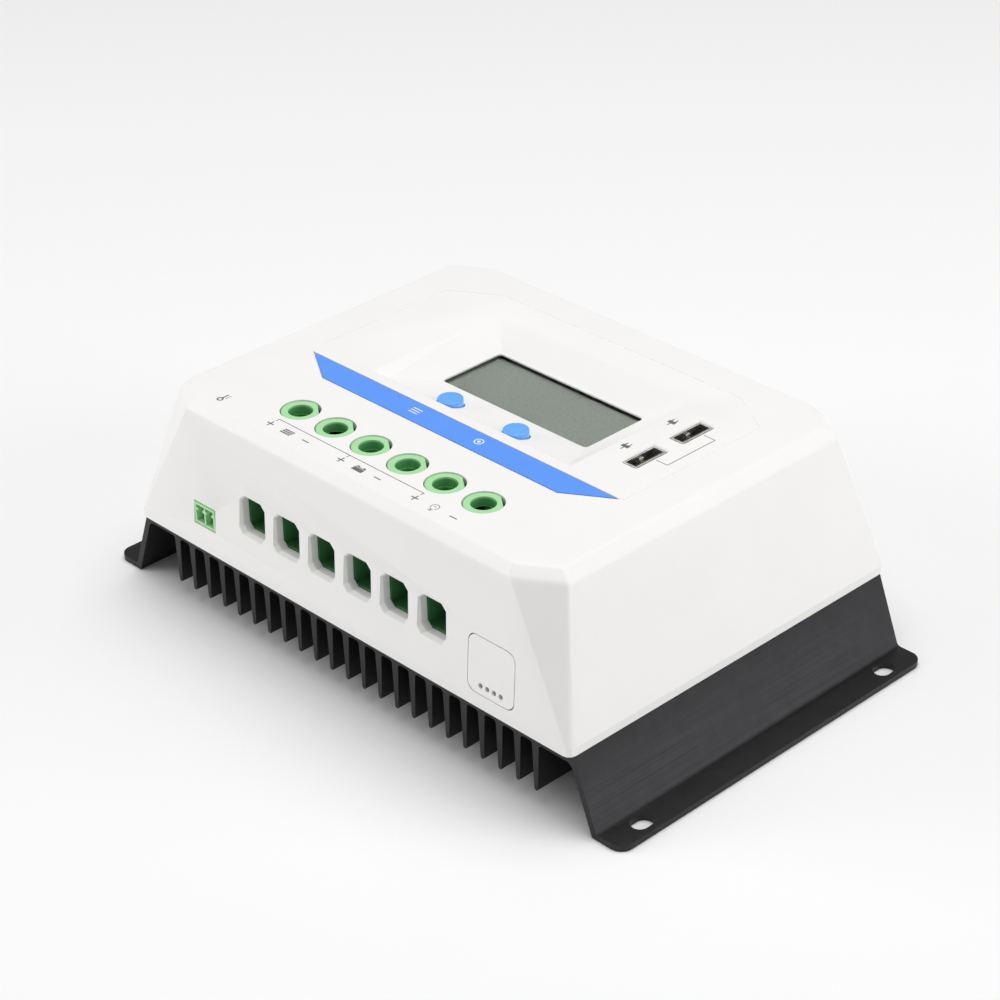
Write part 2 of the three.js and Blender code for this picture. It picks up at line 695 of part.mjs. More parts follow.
function terminalHousing(x) {
  const beyondFlat = block(collarFlat, 2 * collarRadius, -collarRadius, collarRadius, webTop, collarTop + 1)
    .rotate([0, 0, collarFlatTurn]).translate([x, screwY, 0]);
  const shell = join([
    block(x - terminalWidth / 2, x + terminalWidth / 2, housingFront, housingBack, housingBottom, webTop),
    rod(x, screwY, webTop - 1, collarTop, collarRadius, 32).subtract(beyondFlat),
  ]);
  const halfDepth = cageDepth / 2 + slideFit;
  const chamber = post(
    x, screwY, cageWidth + 2 * slideFit, 2 * halfDepth, cageFloorZ - gap, chamberTop);
  const tunnelHalf = cageWidth / 2 + slideFit;
  const tunnel = block(x - tunnelHalf, x + tunnelHalf, housingFront - 1, screwY,
    cageFloorZ - gap, cageTopZ - cageTopWall);
  const contactSlot = block(
    x - contactWidth / 2 - gap, x + contactWidth / 2 + gap, screwY, housingBack + 1,
    contactBottom - gap, contactBottom + contactThickness + gap);
  const shankHole = rod(x, screwY, chamberTop - 1, webTop + 1, clampScrewRadius + slideFit, 20);
  const bore = rod(x, screwY, collarTop - screwBoreDepth, collarTop + 1, screwBore, 24);
  const lowerBore = rod(x, screwY, webTop, collarTop, screwBoreLower, 24);
  return cut(shell, [chamber, tunnel, contactSlot, shankHole, bore, lowerBore]);
}

function clampCage(x) {
  const body = post(x, screwY, cageWidth, cageDepth, cageFloorZ, cageTopZ);
  const passage = post(
    x, screwY, cageWidth - 2 * cageWall, cageDepth + 2, cageFloorZ + cageWall, cageTopZ - cageTopWall);
  const thread = rod(x, screwY, cageTopZ - cageTopWall - 1, cageTopZ + 1, clampScrewRadius + gap, 20);
  return cut(body, [passage, thread]);
}

function clampScrew(x) {
  const headBottom = webTop + gap;
  const headTop = headBottom + clampHeadHeight;
  const shankBottom = contactBottom + contactThickness + gap;
  const bar = join([
    rod(x, screwY, shankBottom, headBottom + 0.5, clampScrewRadius, 20),
    rod(x, screwY, headBottom, headTop, clampHeadRadius, 24),
  ]);
  const slots = [
    post(x, screwY, 2 * clampHeadRadius - 1, clampSlotWidth, headTop - clampSlotDepth, headTop + 1),
    post(x, screwY, clampSlotWidth, 2 * clampHeadRadius - 1, headTop - clampSlotDepth, headTop + 1),
  ];
  return cut(bar, slots);
}

// The fixed contact: a flat strip above the wire that turns down behind the housing to the board.
function terminalContact(x) {
  const back = housingBack + gap + contactThickness;
  const front = screwY - cageDepth / 2 + 0.6;
  const top = contactBottom + contactThickness;
  return join([
    block(x - contactWidth / 2, x + contactWidth / 2, front, back, contactBottom, top),
    block(x - contactWidth / 2, x + contactWidth / 2, back - contactThickness, back, housingBottom, top),
  ]);
}

terminalX.forEach((x, index) => {
  const number = index + 1;
  add("terminal_" + number, terminalHousing(x), finish.greenPlastic());
  add("clamp_cage_" + number, clampCage(x), finish.steel());
  add("clamp_screw_" + number, clampScrew(x), finish.steel());
  add("terminal_contact_" + number, terminalContact(x), finish.brass());
});

// ---------------------------------------------------------------- sockets

const headerBottom = boardTop + gap;
const headerFront = frontWallY(headerBottom + headerHeight / 2);
const chamberHalf = (pinPitch - headerDivider) / 2;
const pinX = signs.map((s) => headerX + (s * pinPitch) / 2);
const pinZ = headerBottom + headerHeight / 2;
const pinHole = (x, grow) => block(
  x - pinSize / 2 - grow, x + pinSize / 2 + grow, headerFront + 1.5, headerFront + headerDepth + 1,
  pinZ - pinSize / 2 - grow, pinZ + pinSize / 2 + grow);

// One of the header's two chambers, with a keying rib on each side.
function headerChamber(x) {
  const floorY = headerFront + headerDepth - headerFloor;
  const top = headerBottom + headerHeight - headerWall;
  const room = block(
    x - chamberHalf, x + chamberHalf, headerFront - 1, floorY, headerBottom + headerWall, top);
  const ribs = signs.map((s) => post(x + s * chamberHalf, (headerFront + floorY) / 2,
    2 * keyWidth, floorY - headerFront + 4, top - keyDrop - keyHeight, top - keyDrop));
  return cut(room, ribs);
}
add("temp_header",
  cut(block(headerX - headerWidth / 2, headerX + headerWidth / 2, headerFront, headerFront + headerDepth,
    headerBottom, headerBottom + headerHeight), [
    ...pinX.map(headerChamber),
    ...pinX.map((x) => pinHole(x, gap)),
  ]), finish.greenPlastic());

// Two pins, joined behind the header where they turn down to the board.
const pinBack = headerFront + headerDepth + gap;
add("temp_header_pins",
  join([
    ...pinX.map((x) => block(x - pinSize / 2, x + pinSize / 2, headerFront + 1.5, pinBack + pinSize,
      pinZ - pinSize / 2, pinZ + pinSize / 2)),
    block(pinX[0] - pinSize / 2, pinX[1] + pinSize / 2, pinBack, pinBack + pinSize,
      headerBottom, pinZ + pinSize / 2),
  ]), finish.brass());

const usbTop = coverHeight - usbBelowTop;
const usbBottom = usbTop - usbHeight;
usbY.forEach((y, index) => {
  const inner = post(usbX, y, usbWidth - 2 * usbWall, usbLength - 2 * usbWall, usbBottom - 1, usbTop + 1);
  add("usb_shell_" + (index + 1), post(usbX, y, usbWidth, usbLength, usbBottom, usbTop).subtract(inner),
    finish.steel());
});
const usbInside = [usbWidth - 2 * usbWall - 2 * gap, usbLength - 2 * usbWall - 2 * gap];
usbY.forEach((y, index) => {
  const tongueX = usbX + usbInside[0] / 2 - usbTongue[0] / 2;
  const base = post(usbX, y, usbInside[0], usbInside[1], usbBottom, usbBottom + usbHeight - usbTongue[2] - 1);
  const tongue = post(tongueX, y, usbTongue[0], usbTongue[1], usbBottom + 1, usbTop - 1);
  add("usb_tongue_" + (index + 1), base.add(tongue), finish.blackPlastic());
});

const usbBoardTop = usbBottom - gap;
const usbBoardBottom = usbBoardTop - boardThickness;
add("usb_board",
  block(usbX - usbBoardWidth / 2, usbX + usbBoardWidth / 2, usbY[0] - usbBoardMargin,
    usbY[1] + usbBoardMargin, usbBoardBottom, usbBoardTop),
  finish.circuitBoard());

// ---------------------------------------------------------------- boards and fixings

const spacerPlaces = signs.flatMap((sx) =>
  [boardFront + spacerInset, boardBack - spacerInset].map((y) => [sx * spacerX, y]));

add("main_board",
  cut(block(-boardWidth / 2, boardWidth / 2, boardFront, boardBack, boardBottom, boardTop),
    spacerPlaces.map(([x, y]) => rod(x, y, boardBottom - 1, boardTop + 1, spacerNeckRadius + gap, 16))),
  finish.circuitBoard());

// Spacers that the board snaps onto: a post, a neck through the board and a conical head above it.
spacerPlaces.forEach(([x, y], index) => {
  const bottom = plateTop + gap;
  const headBottom = boardTop + gap;
  add("board_spacer_" + (index + 1), join([
    rod(x, y, bottom, bottom + spacerHeight, spacerRadius, 6),
    rod(x, y, bottom + 1, headBottom + 1, spacerNeckRadius, 16),
    rod(x, y, headBottom, headBottom + spacerHeadHeight, spacerNeckRadius + 1, 16, spacerNeckRadius / 2),
  ]), finish.whiteAbs());
});

fourCorners(coverScrewX, coverScrewY).forEach(([x, y], index) => {
  const headTop = plateBottom - gap;
  const bottom = headTop - coverHeadHeight;
  const across = 2 * coverHeadRadius - 2;
  const head = rod(x, y, bottom, headTop, coverHeadRadius * 0.8, 20, coverHeadRadius);
  const shank = rod(x, y, headTop - 0.5, plateBottom + coverScrewLength, coverScrewRadius, 16);
  add("cover_screw_" + (index + 1), cut(head.add(shank), [
    post(x, y, across, driveSlot, bottom - 1, bottom + driveSlot),
    post(x, y, driveSlot, across, bottom - 1, bottom + driveSlot),
  ]), finish.steel());
});

// ---------------------------------------------------------------- power parts and the links between boards

const mosfetX = row(mosfetCount, mosfetPitch);
const rowLength = mosfetCount * mosfetPitch;
const padBottom = plateTop + gap;
const mosfetBottom = padBottom + padThickness + gap;
const mosfetTop = mosfetBottom + mosfetBody[2];

add("thermal_pad",
  post(0, mosfetRowY, rowLength, mosfetBody[1] + 2, padBottom, padBottom + padThickness), finish.pad());

// Transistors under the bar that clamps them to the heat sink; their legs reach the board's underside.
function mosfet(x) {
  const legTop = mosfetBottom + mosfetBody[2] / 2;
  const legFront = boardBack - 2;
  const body = post(x, mosfetRowY, mosfetBody[0], mosfetBody[1], mosfetBottom, mosfetTop);
  const legs = [-1, 0, 1].flatMap((leg) => {
    const x0 = x + leg * 2.54 - mosfetLeg / 2;
    return [
      block(x0, x0 + mosfetLeg, legFront, mosfetRowY, legTop - mosfetLeg, legTop),
      block(x0, x0 + mosfetLeg, legFront, legFront + mosfetLeg, legTop - mosfetLeg, boardBottom - gap),
    ];
  });
  return join([body, ...legs]);
}
add("power_transistors",
  join([
    post(0, mosfetRowY, rowLength, barWidth, mosfetTop - 0.01, mosfetTop + barThickness),
    ...mosfetX.map(mosfet),
  ]), finish.blackPlastic());

const onBoard = boardTop + gap;
capacitorY.forEach((y, index) => {
  const rimZ = onBoard + capacitorHeight - 1;
  add("capacitor_" + (index + 1), join([
    rod(capacitorX, y, onBoard, rimZ, capacitorRadius, 28),
    rod(capacitorX, y, rimZ, rimZ + 1, capacitorRadius, 28, capacitorRadius - 0.8),
  ]), finish.can());
});
add("inductor",
  rod(inductorX, inductorY, onBoard, onBoard + inductorHeight, inductorRadii[1], 28).subtract(
    rod(inductorX, inductorY, onBoard - 1, onBoard + inductorHeight + 1, inductorRadii[0], 20)),
  finish.copper());
add("display_link",
  post(0, linkY, linkLength, linkWidth, onBoard, displayBoardBottom - gap), finish.blackPlastic());
add("usb_link",
  post(usbX, usbY[1], linkWidth, linkWidth * 4, onBoard, usbBoardBottom - gap), finish.blackPlastic());

export default controller;
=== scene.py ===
"""Looks of a wall-mounted solar charge controller: materials, softened edges, markings and fine parts."""

import math

import bmesh
import bpy
from bpy.props import FloatProperty, FloatVectorProperty, PointerProperty
from mathutils import Matrix, Vector


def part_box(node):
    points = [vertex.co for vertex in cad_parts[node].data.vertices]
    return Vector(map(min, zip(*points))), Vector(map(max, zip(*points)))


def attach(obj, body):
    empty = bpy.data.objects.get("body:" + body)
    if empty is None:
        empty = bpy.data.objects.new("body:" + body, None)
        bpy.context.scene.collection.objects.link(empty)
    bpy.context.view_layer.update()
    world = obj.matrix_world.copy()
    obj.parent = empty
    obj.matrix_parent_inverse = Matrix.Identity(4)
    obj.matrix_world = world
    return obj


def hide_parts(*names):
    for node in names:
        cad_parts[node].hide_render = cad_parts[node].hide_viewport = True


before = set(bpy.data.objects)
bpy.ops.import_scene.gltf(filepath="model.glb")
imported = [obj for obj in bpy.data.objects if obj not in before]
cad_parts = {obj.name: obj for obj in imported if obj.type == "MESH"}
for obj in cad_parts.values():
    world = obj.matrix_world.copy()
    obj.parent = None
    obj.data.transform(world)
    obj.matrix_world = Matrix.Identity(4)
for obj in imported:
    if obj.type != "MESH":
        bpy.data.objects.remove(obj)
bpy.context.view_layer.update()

bl_info = {
    "name": "Solar charge controller",
    "version": (1, 0, 0),
    "blender": (4, 5, 0),
    "location": "3D View > Sidebar > Controller",
    "description": "Builds the visible pieces of a solar charge controller on its packed frame",
    "category": "Object",
}

MM = 0.001
FRAME_BODY = "frame"
TERMINALS = 6
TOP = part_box("cover")[1].z  # the top face
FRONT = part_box("cover")[0].y  # the skirt under the cable entries
SIGNS = (-1, 1)
FULL_TURN = 2 * math.pi

# The cover's outside, as (drop from the top, half of X, half of Y, corner cut along X, corner cut along Y).
SHOULDER = (3 * MM, 79.4 * MM, 61.6 * MM, 12.9 * MM, 8.3 * MM)
LID = (0, 75.9 * MM, 58.8 * MM, 11.15 * MM, 7.17 * MM)
LID_MIDDLE = (0, 60 * MM, 45 * MM, 8 * MM, 5 * MM)  # lies inside the lid, so the lid's edge has a next point
SKIRT_HEIGHT = 2.5 * MM
SKIRT_CUT = (1.2 * MM, 0.768 * MM)

# Where the markings are printed, in millimetres.
BRACKET_Y = -50.8
BRACKET_TICK = 1.3
TERMINAL_SIGN_Y = -54.1
SENSOR_SIGN_X = -59.2
BUTTON_SIGN_Y = -20.9
MENU_LINES_X = (-15.2, -11.6)
SET_RING_X = 12.6
SOCKET_SIGN_OFFSET = (-5.4, 0.6)  # from the low X side and the middle of a socket
SOCKET_BRACKET_X = (55.2, 59.3)
SOCKET_BRACKET_Y = (5.4, 24.7)

# The soft lights, as (name, place, target, size in metres, watts).
LIGHTS = (
    ("overhead", (0.1, 0.1, 1.5), (0, 0, 0), 1.4, 15.5),
    ("left_front", (-1.1, -1.0, 0.5), (0, 0, 0.04), 0.9, 8.2),
    ("right_back", (1.3, 0.8, 0.55), (0, 0, 0.04), 0.9, 7.2),
)
FLOOR_RINGS = ((1.4, 0.0), (2.2, 0.02), (2.8, 0.12))  # radius and height, in metres
FLOOR_STEPS = 64
FLOOR_GAP = 0.2 * MM


# ---------------------------------------------------------------- colour and shader helpers


def linear(hex_colour):
    """An sRGB hex colour as linear red, green and blue."""
    channels = [int(hex_colour[i : i + 2], 16) / 255 for i in (1, 3, 5)]
    return tuple(c / 12.92 if c <= 0.04045 else ((c + 0.055) / 1.055) ** 2.4 for c in channels)


def add_node(tree, kind, links=None, **settings):
    """A shader node with its settings; links maps an input's name or number to what feeds it."""
    node = tree.nodes.new(kind)
    for key, value in settings.items():
        if key.startswith("in_"):
            name = key[3:]
            node.inputs[int(name) if name.isdigit() else name.replace("_", " ")].default_value = value
        else:
            setattr(node, key, value)
    for name, socket in (links or {}).items():
        tree.links.new(socket, node.inputs[name])
    return node


def new_material(name, roughness, metallic=0.0, ior=1.5):
    """A material with its principled shader, and object coordinates in millimetres."""
    material = bpy.data.materials.new(name)
    material.use_nodes = True
    tree = material.node_tree
    tree.nodes.clear()
    shader = add_node(
        tree, "ShaderNodeBsdfPrincipled", in_Roughness=roughness, in_Metallic=metallic, in_IOR=ior
    )
    output = add_node(tree, "ShaderNodeOutputMaterial")
    tree.links.new(shader.outputs[0], output.inputs[0])
    place = add_node(tree, "ShaderNodeTexCoord")
    millimetres = add_node(
        tree, "ShaderNodeVectorMath", {0: place.outputs["Object"]}, operation="SCALE", in_Scale=1 / MM
    )
    return material, tree, shader, millimetres.outputs[0]


def grain(tree, place, size_mm, stretch=(1, 1, 1), detail=3.0):
    """Noise whose lumps are about size_mm across, drawn out where stretch is above 1."""
    mapping = add_node(
        tree, "ShaderNodeMapping", {"Vector": place}, in_Scale=[1 / (size_mm * s) for s in stretch]
    )
    noise = add_node(
        tree, "ShaderNodeTexNoise", {"Vector": mapping.outputs[0]},
        in_Scale=1.0, in_Detail=detail, in_Roughness=0.55,
    )
    return noise.outputs[0]


def remap(tree, value, low, high, start=0.3, end=0.7):
    """value, which mostly lies between start and end, spread between low and high."""
    spread = add_node(
        tree, "ShaderNodeMapRange", {0: value}, in_1=start, in_2=end, in_3=low, in_4=high, clamp=True
    )
    return spread.outputs[0]


def tint(tree, factor, dark, light):
    """A colour between two sRGB hex colours."""
    mix = add_node(tree, "ShaderNodeMix", {0: factor}, data_type="RGBA")
    mix.inputs[6].default_value = (*dark, 1)
    mix.inputs[7].default_value = (*light, 1)
    return mix.outputs[2]


def bump(tree, shader, heights):
    """Bumps from (height socket, depth in mm), the finest last."""
    normal = None
    for height, depth_mm in heights:
        links = {"Height": height}
        if normal is not None:
            links["Normal"] = normal
        step = add_node(tree, "ShaderNodeBump", links, in_Strength=1.0, in_Distance=depth_mm * MM)
        normal = step.outputs[0]
    tree.links.new(normal, shader.inputs["Normal"])


def feed(tree, shader, **sockets):
    """Links sockets to the shader's inputs by name."""
    for name, socket in sockets.items():
        tree.links.new(socket, shader.inputs[name.replace("_", " ")])


def shade(colour, factor):
    """A linear colour made darker or lighter by a factor."""
    return tuple(min(1.0, c * factor) for c in colour)


# ---------------------------------------------------------------- materials


def textured_abs(name, colour):
    """Injection-moulded ABS from a spark-eroded tool: a satin skin with a fine, even grain."""
    material, tree, shader, place = new_material(name, 0.46)
    patches = grain(tree, place, 18, detail=2)
    fine = grain(tree, place, 0.45, detail=2)
    flow = grain(tree, place, 60, detail=1)
    feed(
        tree, shader,
        Base_Color=tint(tree, remap(tree, patches, 0, 1), shade(colour, 0.985), colour),
        Roughness=remap(tree, fine, 0.42, 0.52),
    )
    shader.inputs["Subsurface Weight"].default_value = 0.06
    shader.inputs["Subsurface Radius"].default_value = (1.0, 1.0, 0.9)
    shader.inputs["Subsurface Scale"].default_value = 0.6 * MM
    bump(tree, shader, [(flow, 0.02), (fine, 0.006)])
    return material


def anodised_aluminium(name, colour):
    """Extruded aluminium, dyed dark grey and sealed: die lines run along Y under a soft metallic sheen."""
    material, tree, shader, place = new_material(name, 0.42, metallic=0.62)
    lines = grain(tree, place, 0.35, stretch=(1, 160, 1), detail=3)
    mottle = grain(tree, place, 6, detail=4)
    speckle = grain(tree, place, 0.3, detail=1)
    feed(
        tree, shader,
        Base_Color=tint(tree, remap(tree, mottle, 0, 1), shade(colour, 0.86), shade(colour, 1.1)),
        Roughness=remap(tree, lines, 0.38, 0.5),
    )
    bump(tree, shader, [(lines, 0.006), (speckle, 0.004)])
    return material


def printed_film(name, colour):
    """Polycarbonate film printed on its back: even colour under a satin face with a slight orange peel."""
    material, tree, shader, place = new_material(name, 0.36, ior=1.58)
    peel = grain(tree, place, 0.8, detail=2)
    cloud = grain(tree, place, 12, detail=2)
    feed(
        tree, shader,
        Base_Color=tint(tree, remap(tree, cloud, 0, 1), shade(colour, 0.96), colour),
        Roughness=remap(tree, peel, 0.33, 0.42),
    )
    bump(tree, shader, [(peel, 0.004)])
    return material


def keycap_plastic(name, colour):
    """Polished keycap plastic: brighter than the film, with small pits that catch the light."""
    material, tree, shader, place = new_material(name, 0.3)
    pits = grain(tree, place, 0.5, detail=1)
    feed(
        tree, shader,
        Base_Color=tint(tree, remap(tree, pits, 0, 1, 0.35, 0.5), shade(colour, 0.9), colour),
        Roughness=remap(tree, pits, 0.38, 0.27),
    )
    shader.inputs["Coat Weight"].default_value = 0.25
    shader.inputs["Coat Roughness"].default_value = 0.2
    bump(tree, shader, [(pits, 0.03)])
    return material


def nylon(name, colour, bore_shade, deep_shade):
    """Moulded polyamide for terminal blocks: pale green outside, with shade painted into the bores as darker
    greens, darker still below the ledge.
    """
    material, tree, shader, place = new_material(name, 0.4, ior=1.53)
    cloud = grain(tree, place, 5, detail=3)
    fine = grain(tree, place, 0.5, detail=2)
    split = add_node(tree, "ShaderNodeSeparateXYZ", {0: place})
    top, front = TOP / MM, FRONT / MM
    near_top = remap(tree, split.outputs[2], 0, 1, top - 1.1, top - 0.7)
    above_ledge = remap(tree, split.outputs[2], 0, 1, top - 4.2, top - 3.2)
    out_front = remap(tree, split.outputs[1], 1, 0, front + 2.6, front + 3.4)
    outside = tint(tree, remap(tree, cloud, 0, 1), shade(colour, 0.95), colour)
    # Painted shade: the bores are coloured darker than the outside, darker again below the ledge; the real
    # nylon is one colour throughout.
    inner = tint(tree, above_ledge, deep_shade, bore_shade)
    # The top and the front keep the plain nylon colour; everywhere else gets the painted shade.
    skin = add_node(tree, "ShaderNodeMath", {0: near_top, 1: out_front}, operation="MAXIMUM")
    mix = add_node(tree, "ShaderNodeMix", {0: skin.outputs[0], 6: inner, 7: outside}, data_type="RGBA")
    feed(tree, shader, Base_Color=mix.outputs[2], Roughness=remap(tree, fine, 0.36, 0.46))
    shader.inputs["Subsurface Weight"].default_value = 0.1
    shader.inputs["Subsurface Radius"].default_value = (0.5, 1.0, 0.5)
    shader.inputs["Subsurface Scale"].default_value = 0.8 * MM
    bump(tree, shader, [(cloud, 0.02), (fine, 0.004)])
    return material


def liquid_crystal(name, colour):
    """A reflective liquid crystal cell: a grey-green polariser over a fine mottled reflector."""
    material, tree, shader, place = new_material(name, 0.28, ior=1.52)
    reflector = grain(tree, place, 0.6, detail=4)
    cloud = grain(tree, place, 25, detail=2)
    shades = tint(tree, remap(tree, cloud, 0, 1), shade(colour, 0.95), shade(colour, 1.04))
    sparkle = add_node(
        tree, "ShaderNodeMix", {0: remap(tree, reflector, 0, 0.05), 6: shades}, data_type="RGBA"
    )
    sparkle.inputs[7].default_value = (1, 1, 1, 1)
    feed(tree, shader, Base_Color=sparkle.outputs[2], Roughness=remap(tree, reflector, 0.25, 0.33))
    bump(tree, shader, [(reflector, 0.002)])
    return material


def clear_acrylic(name, colour):
    """Cast acrylic window: clear, polished, with the faintest waviness."""
    material, tree, shader, place = new_material(name, 0.04, ior=1.49)
    wave = grain(tree, place, 9, detail=1)
    shader.inputs["Base Color"].default_value = (*colour, 1)
    shader.inputs["Transmission Weight"].default_value = 1.0
    feed(tree, shader, Roughness=remap(tree, wave, 0.02, 0.06))
    bump(tree, shader, [(wave, 0.001)])
    return material


def foam_rubber(name, colour):
    """Closed-cell foam: matt black with a fine cell structure."""
    material, tree, shader, place = new_material(name, 0.9)
    cells = add_node(tree, "ShaderNodeTexVoronoi", {"Vector": place}, in_Scale=2.5)
    feed(
        tree, shader,
        Base_Color=tint(tree, cells.outputs[0], colour, shade(colour, 2.2)),
        Roughness=remap(tree, cells.outputs[0], 0.85, 0.98, 0, 0.6),
    )
    bump(tree, shader, [(cells.outputs[0], 0.05)])
    return material


def zinc_plate(name, colour):
    """Bright zinc plate on steel: cool, fairly smooth, with faint clouding and handling scratches."""
    material, tree, shader, place = new_material(name, 0.28, metallic=1.0)
    cloud = grain(tree, place, 2.5, detail=4)
    scratches = grain(tree, place, 0.15, stretch=(1, 14, 3), detail=2)
    feed(
        tree, shader,
        Base_Color=tint(tree, remap(tree, cloud, 0, 1), shade(colour, 0.82), colour),
        Roughness=remap(tree, scratches, 0.22, 0.38),
    )
    bump(tree, shader, [(scratches, 0.003)])
    return material


def turned_brass(name, colour):
    """Brass strip and turned parts: warm, softly streaked, slightly dulled by handling."""
    material, tree, shader, place = new_material(name, 0.3, metallic=1.0)
    dull = grain(tree, place, 1.6, detail=4)
    streaks = grain(tree, place, 0.12, stretch=(20, 1, 1), detail=2)
    feed(
        tree, shader,
        Base_Color=tint(tree, remap(tree, dull, 0, 1), shade(colour, 0.7), colour),
        Roughness=remap(tree, dull, 0.42, 0.24),
    )
    bump(tree, shader, [(streaks, 0.003)])
    return material


def enamelled_winding(name, colour):
    """Turns of enamelled copper wire wound round a core, with shade painted into the grooves between turns.
    """
    turn_count = 52
    material, tree, shader, place = new_material(name, 0.25, metallic=0.85)
    low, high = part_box("inductor")
    centre = (low + high) / 2 / MM
    shifted = add_node(tree, "ShaderNodeVectorMath", {0: place}, operation="SUBTRACT")
    shifted.inputs[1].default_value = centre
    radial = add_node(tree, "ShaderNodeTexGradient", {"Vector": shifted.outputs[0]}, gradient_type="RADIAL")
    turns = add_node(
        tree, "ShaderNodeMath", {0: radial.outputs[1]}, operation="MULTIPLY", in_1=FULL_TURN * turn_count
    )
    wave = add_node(tree, "ShaderNodeMath", {0: turns.outputs[0]}, operation="SINE")
    height = remap(tree, wave.outputs[0], 0, 1, -1, 1)
    # Painted shade: the colour falls to about a third of the copper's in the grooves between turns.
    feed(
        tree, shader,
        Base_Color=tint(tree, height, shade(colour, 0.35), colour),
        Roughness=remap(tree, height, 0.45, 0.22, 0, 1),
    )
    bump(tree, shader, [(height, 0.35)])
    return material


def solder_mask(name, colour):
    """Green solder mask over etched copper: raised tracks show through a glossy coat."""
    material, tree, shader, place = new_material(name, 0.3)
    cells = add_node(
        tree, "ShaderNodeTexVoronoi", {"Vector": place}, in_Scale=0.22, distance="CHEBYCHEV", feature="F1"
    )
    rings = add_node(tree, "ShaderNodeMath", {0: cells.outputs[0]}, operation="MULTIPLY", in_1=28.0)
    wave = add_node(tree, "ShaderNodeMath", {0: rings.outputs[0]}, operation="SINE")
    track = remap(tree, wave.outputs[0], 0, 1, 0.2, 0.45)
    weave = grain(tree, place, 0.7, detail=2)
    feed(
        tree, shader,
        Base_Color=tint(tree, track, colour, shade(colour, 1.9)),
        Roughness=remap(tree, weave, 0.24, 0.4),
    )
    bump(tree, shader, [(track, 0.035), (weave, 0.004)])
    return material


def moulded_epoxy(name, colour):
    """Moulded epoxy and dark engineering plastic: matt, with the grain of its glass filling."""
    material, tree, shader, place = new_material(name, 0.55)
    filling = grain(tree, place, 0.3, detail=3)
    feed(
        tree, shader,
        Base_Color=tint(tree, remap(tree, filling, 0, 1), shade(colour, 0.75), shade(colour, 1.3)),
        Roughness=remap(tree, filling, 0.48, 0.64),
    )
    bump(tree, shader, [(filling, 0.01)])
    return material


def shrink_sleeve(name, colour):
    """Heat-shrunk sleeve of a capacitor: glossy film with slow ripples round the can."""
    material, tree, shader, place = new_material(name, 0.26)
    ripple = grain(tree, place, 4, stretch=(1, 1, 4), detail=2)
    feed(
        tree, shader,
        Base_Color=tint(tree, remap(tree, ripple, 0, 1), shade(colour, 0.85), shade(colour, 1.15)),
        Roughness=remap(tree, ripple, 0.2, 0.34),
    )
    bump(tree, shader, [(ripple, 0.08)])
    return material


def silicone_pad(name, colour):
    """Filled silicone heat-transfer pad: soft, matt and slightly granular."""
    material, tree, shader, place = new_material(name, 0.8)
    filler = grain(tree, place, 0.25, detail=3)
    feed(
        tree, shader,
        Base_Color=tint(tree, remap(tree, filler, 0, 1), shade(colour, 0.88), colour),
        Roughness=remap(tree, filler, 0.74, 0.88),
    )
    bump(tree, shader, [(filler, 0.02)])
    return material


def pad_ink(name, colour):
    """Pad-printed ink: matt and thin, a little uneven where it was pressed."""
    material, tree, shader, place = new_material(name, 0.6)
    cover_of_ink = grain(tree, place, 0.35, detail=3)
    feed(
        tree, shader,
        Base_Color=tint(tree, remap(tree, cover_of_ink, 0, 1), shade(colour, 0.9), shade(colour, 1.12)),
        Roughness=remap(tree, cover_of_ink, 0.5, 0.68),
    )
    bump(tree, shader, [(cover_of_ink, 0.002)])
    return material


def studio_paper(name, colour):
    """A sweep of matt white paper with a barely visible tooth."""
    material, tree, shader, place = new_material(name, 0.85)
    tooth = grain(tree, place, 1.2, detail=3)
    feed(
        tree, shader,
        Base_Color=tint(tree, remap(tree, tooth, 0, 1), shade(colour, 0.995), colour),
        Roughness=remap(tree, tooth, 0.8, 0.9),
    )
    bump(tree, shader, [(tooth, 0.01)])
    return material


made = {}


def finish(key):
    """The material for a finish, made once from the colours in the panel."""
    if key not in made:
        colours = bpy.context.scene.controller_colours
        recipes = {
            "cover": lambda: textured_abs("white ABS", colours.cover),
            "anodised": lambda: anodised_aluminium("dark grey anodised aluminium", colours.heat_sink),
            "film": lambda: printed_film("blue printed film", colours.label),
            "button": lambda: keycap_plastic("blue keycap plastic", colours.button),
            "nylon": lambda: nylon(
                "light green nylon", colours.terminal, colours.terminal_bore_shade, colours.terminal_deep_shade
            ),
            "lcd": lambda: liquid_crystal("grey-green liquid crystal", colours.screen),
            "acrylic": lambda: clear_acrylic("clear acrylic", linear("#f6faf8")),
            "foam": lambda: foam_rubber("black foam", linear("#141415")),
            "zinc": lambda: zinc_plate("zinc-plated steel", linear("#c9ccd0")),
            "tin": lambda: zinc_plate("bright tin plate", linear("#f4f4f2")),
            "brown": lambda: moulded_epoxy("dark brown plastic", linear("#2a2019")),
            "brass": lambda: turned_brass("brass", linear("#d8b268")),
            "gold": lambda: turned_brass("gold-plated contact", linear("#e6bf62")),
            "winding": lambda: enamelled_winding("enamelled copper", linear("#b9652c")),
            "board": lambda: solder_mask("green solder mask", linear("#165a30")),
            "epoxy": lambda: moulded_epoxy("black epoxy", linear("#1d1e1f")),
            "sleeve": lambda: shrink_sleeve("dark blue sleeve", linear("#1c2a52")),
            "pad": lambda: silicone_pad("grey-blue silicone pad", linear("#aebbd0")),
            "nylon_white": lambda: moulded_epoxy("natural nylon", linear("#e4e1d6")),
            "ink": lambda: pad_ink("grey ink", colours.ink),
            "white_ink": lambda: pad_ink("white ink", linear("#f4f6fa")),
            "paper": lambda: studio_paper("white paper", linear("#f7f7f7")),
        }
        made[key] = recipes[key]()
    return made[key]


# ---------------------------------------------------------------- mesh helpers


def dress(node, key):
    """Gives a CAD node that stays as it is its material."""
    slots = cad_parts[node].data.materials
    slots.clear()
    slots.append(finish(key))


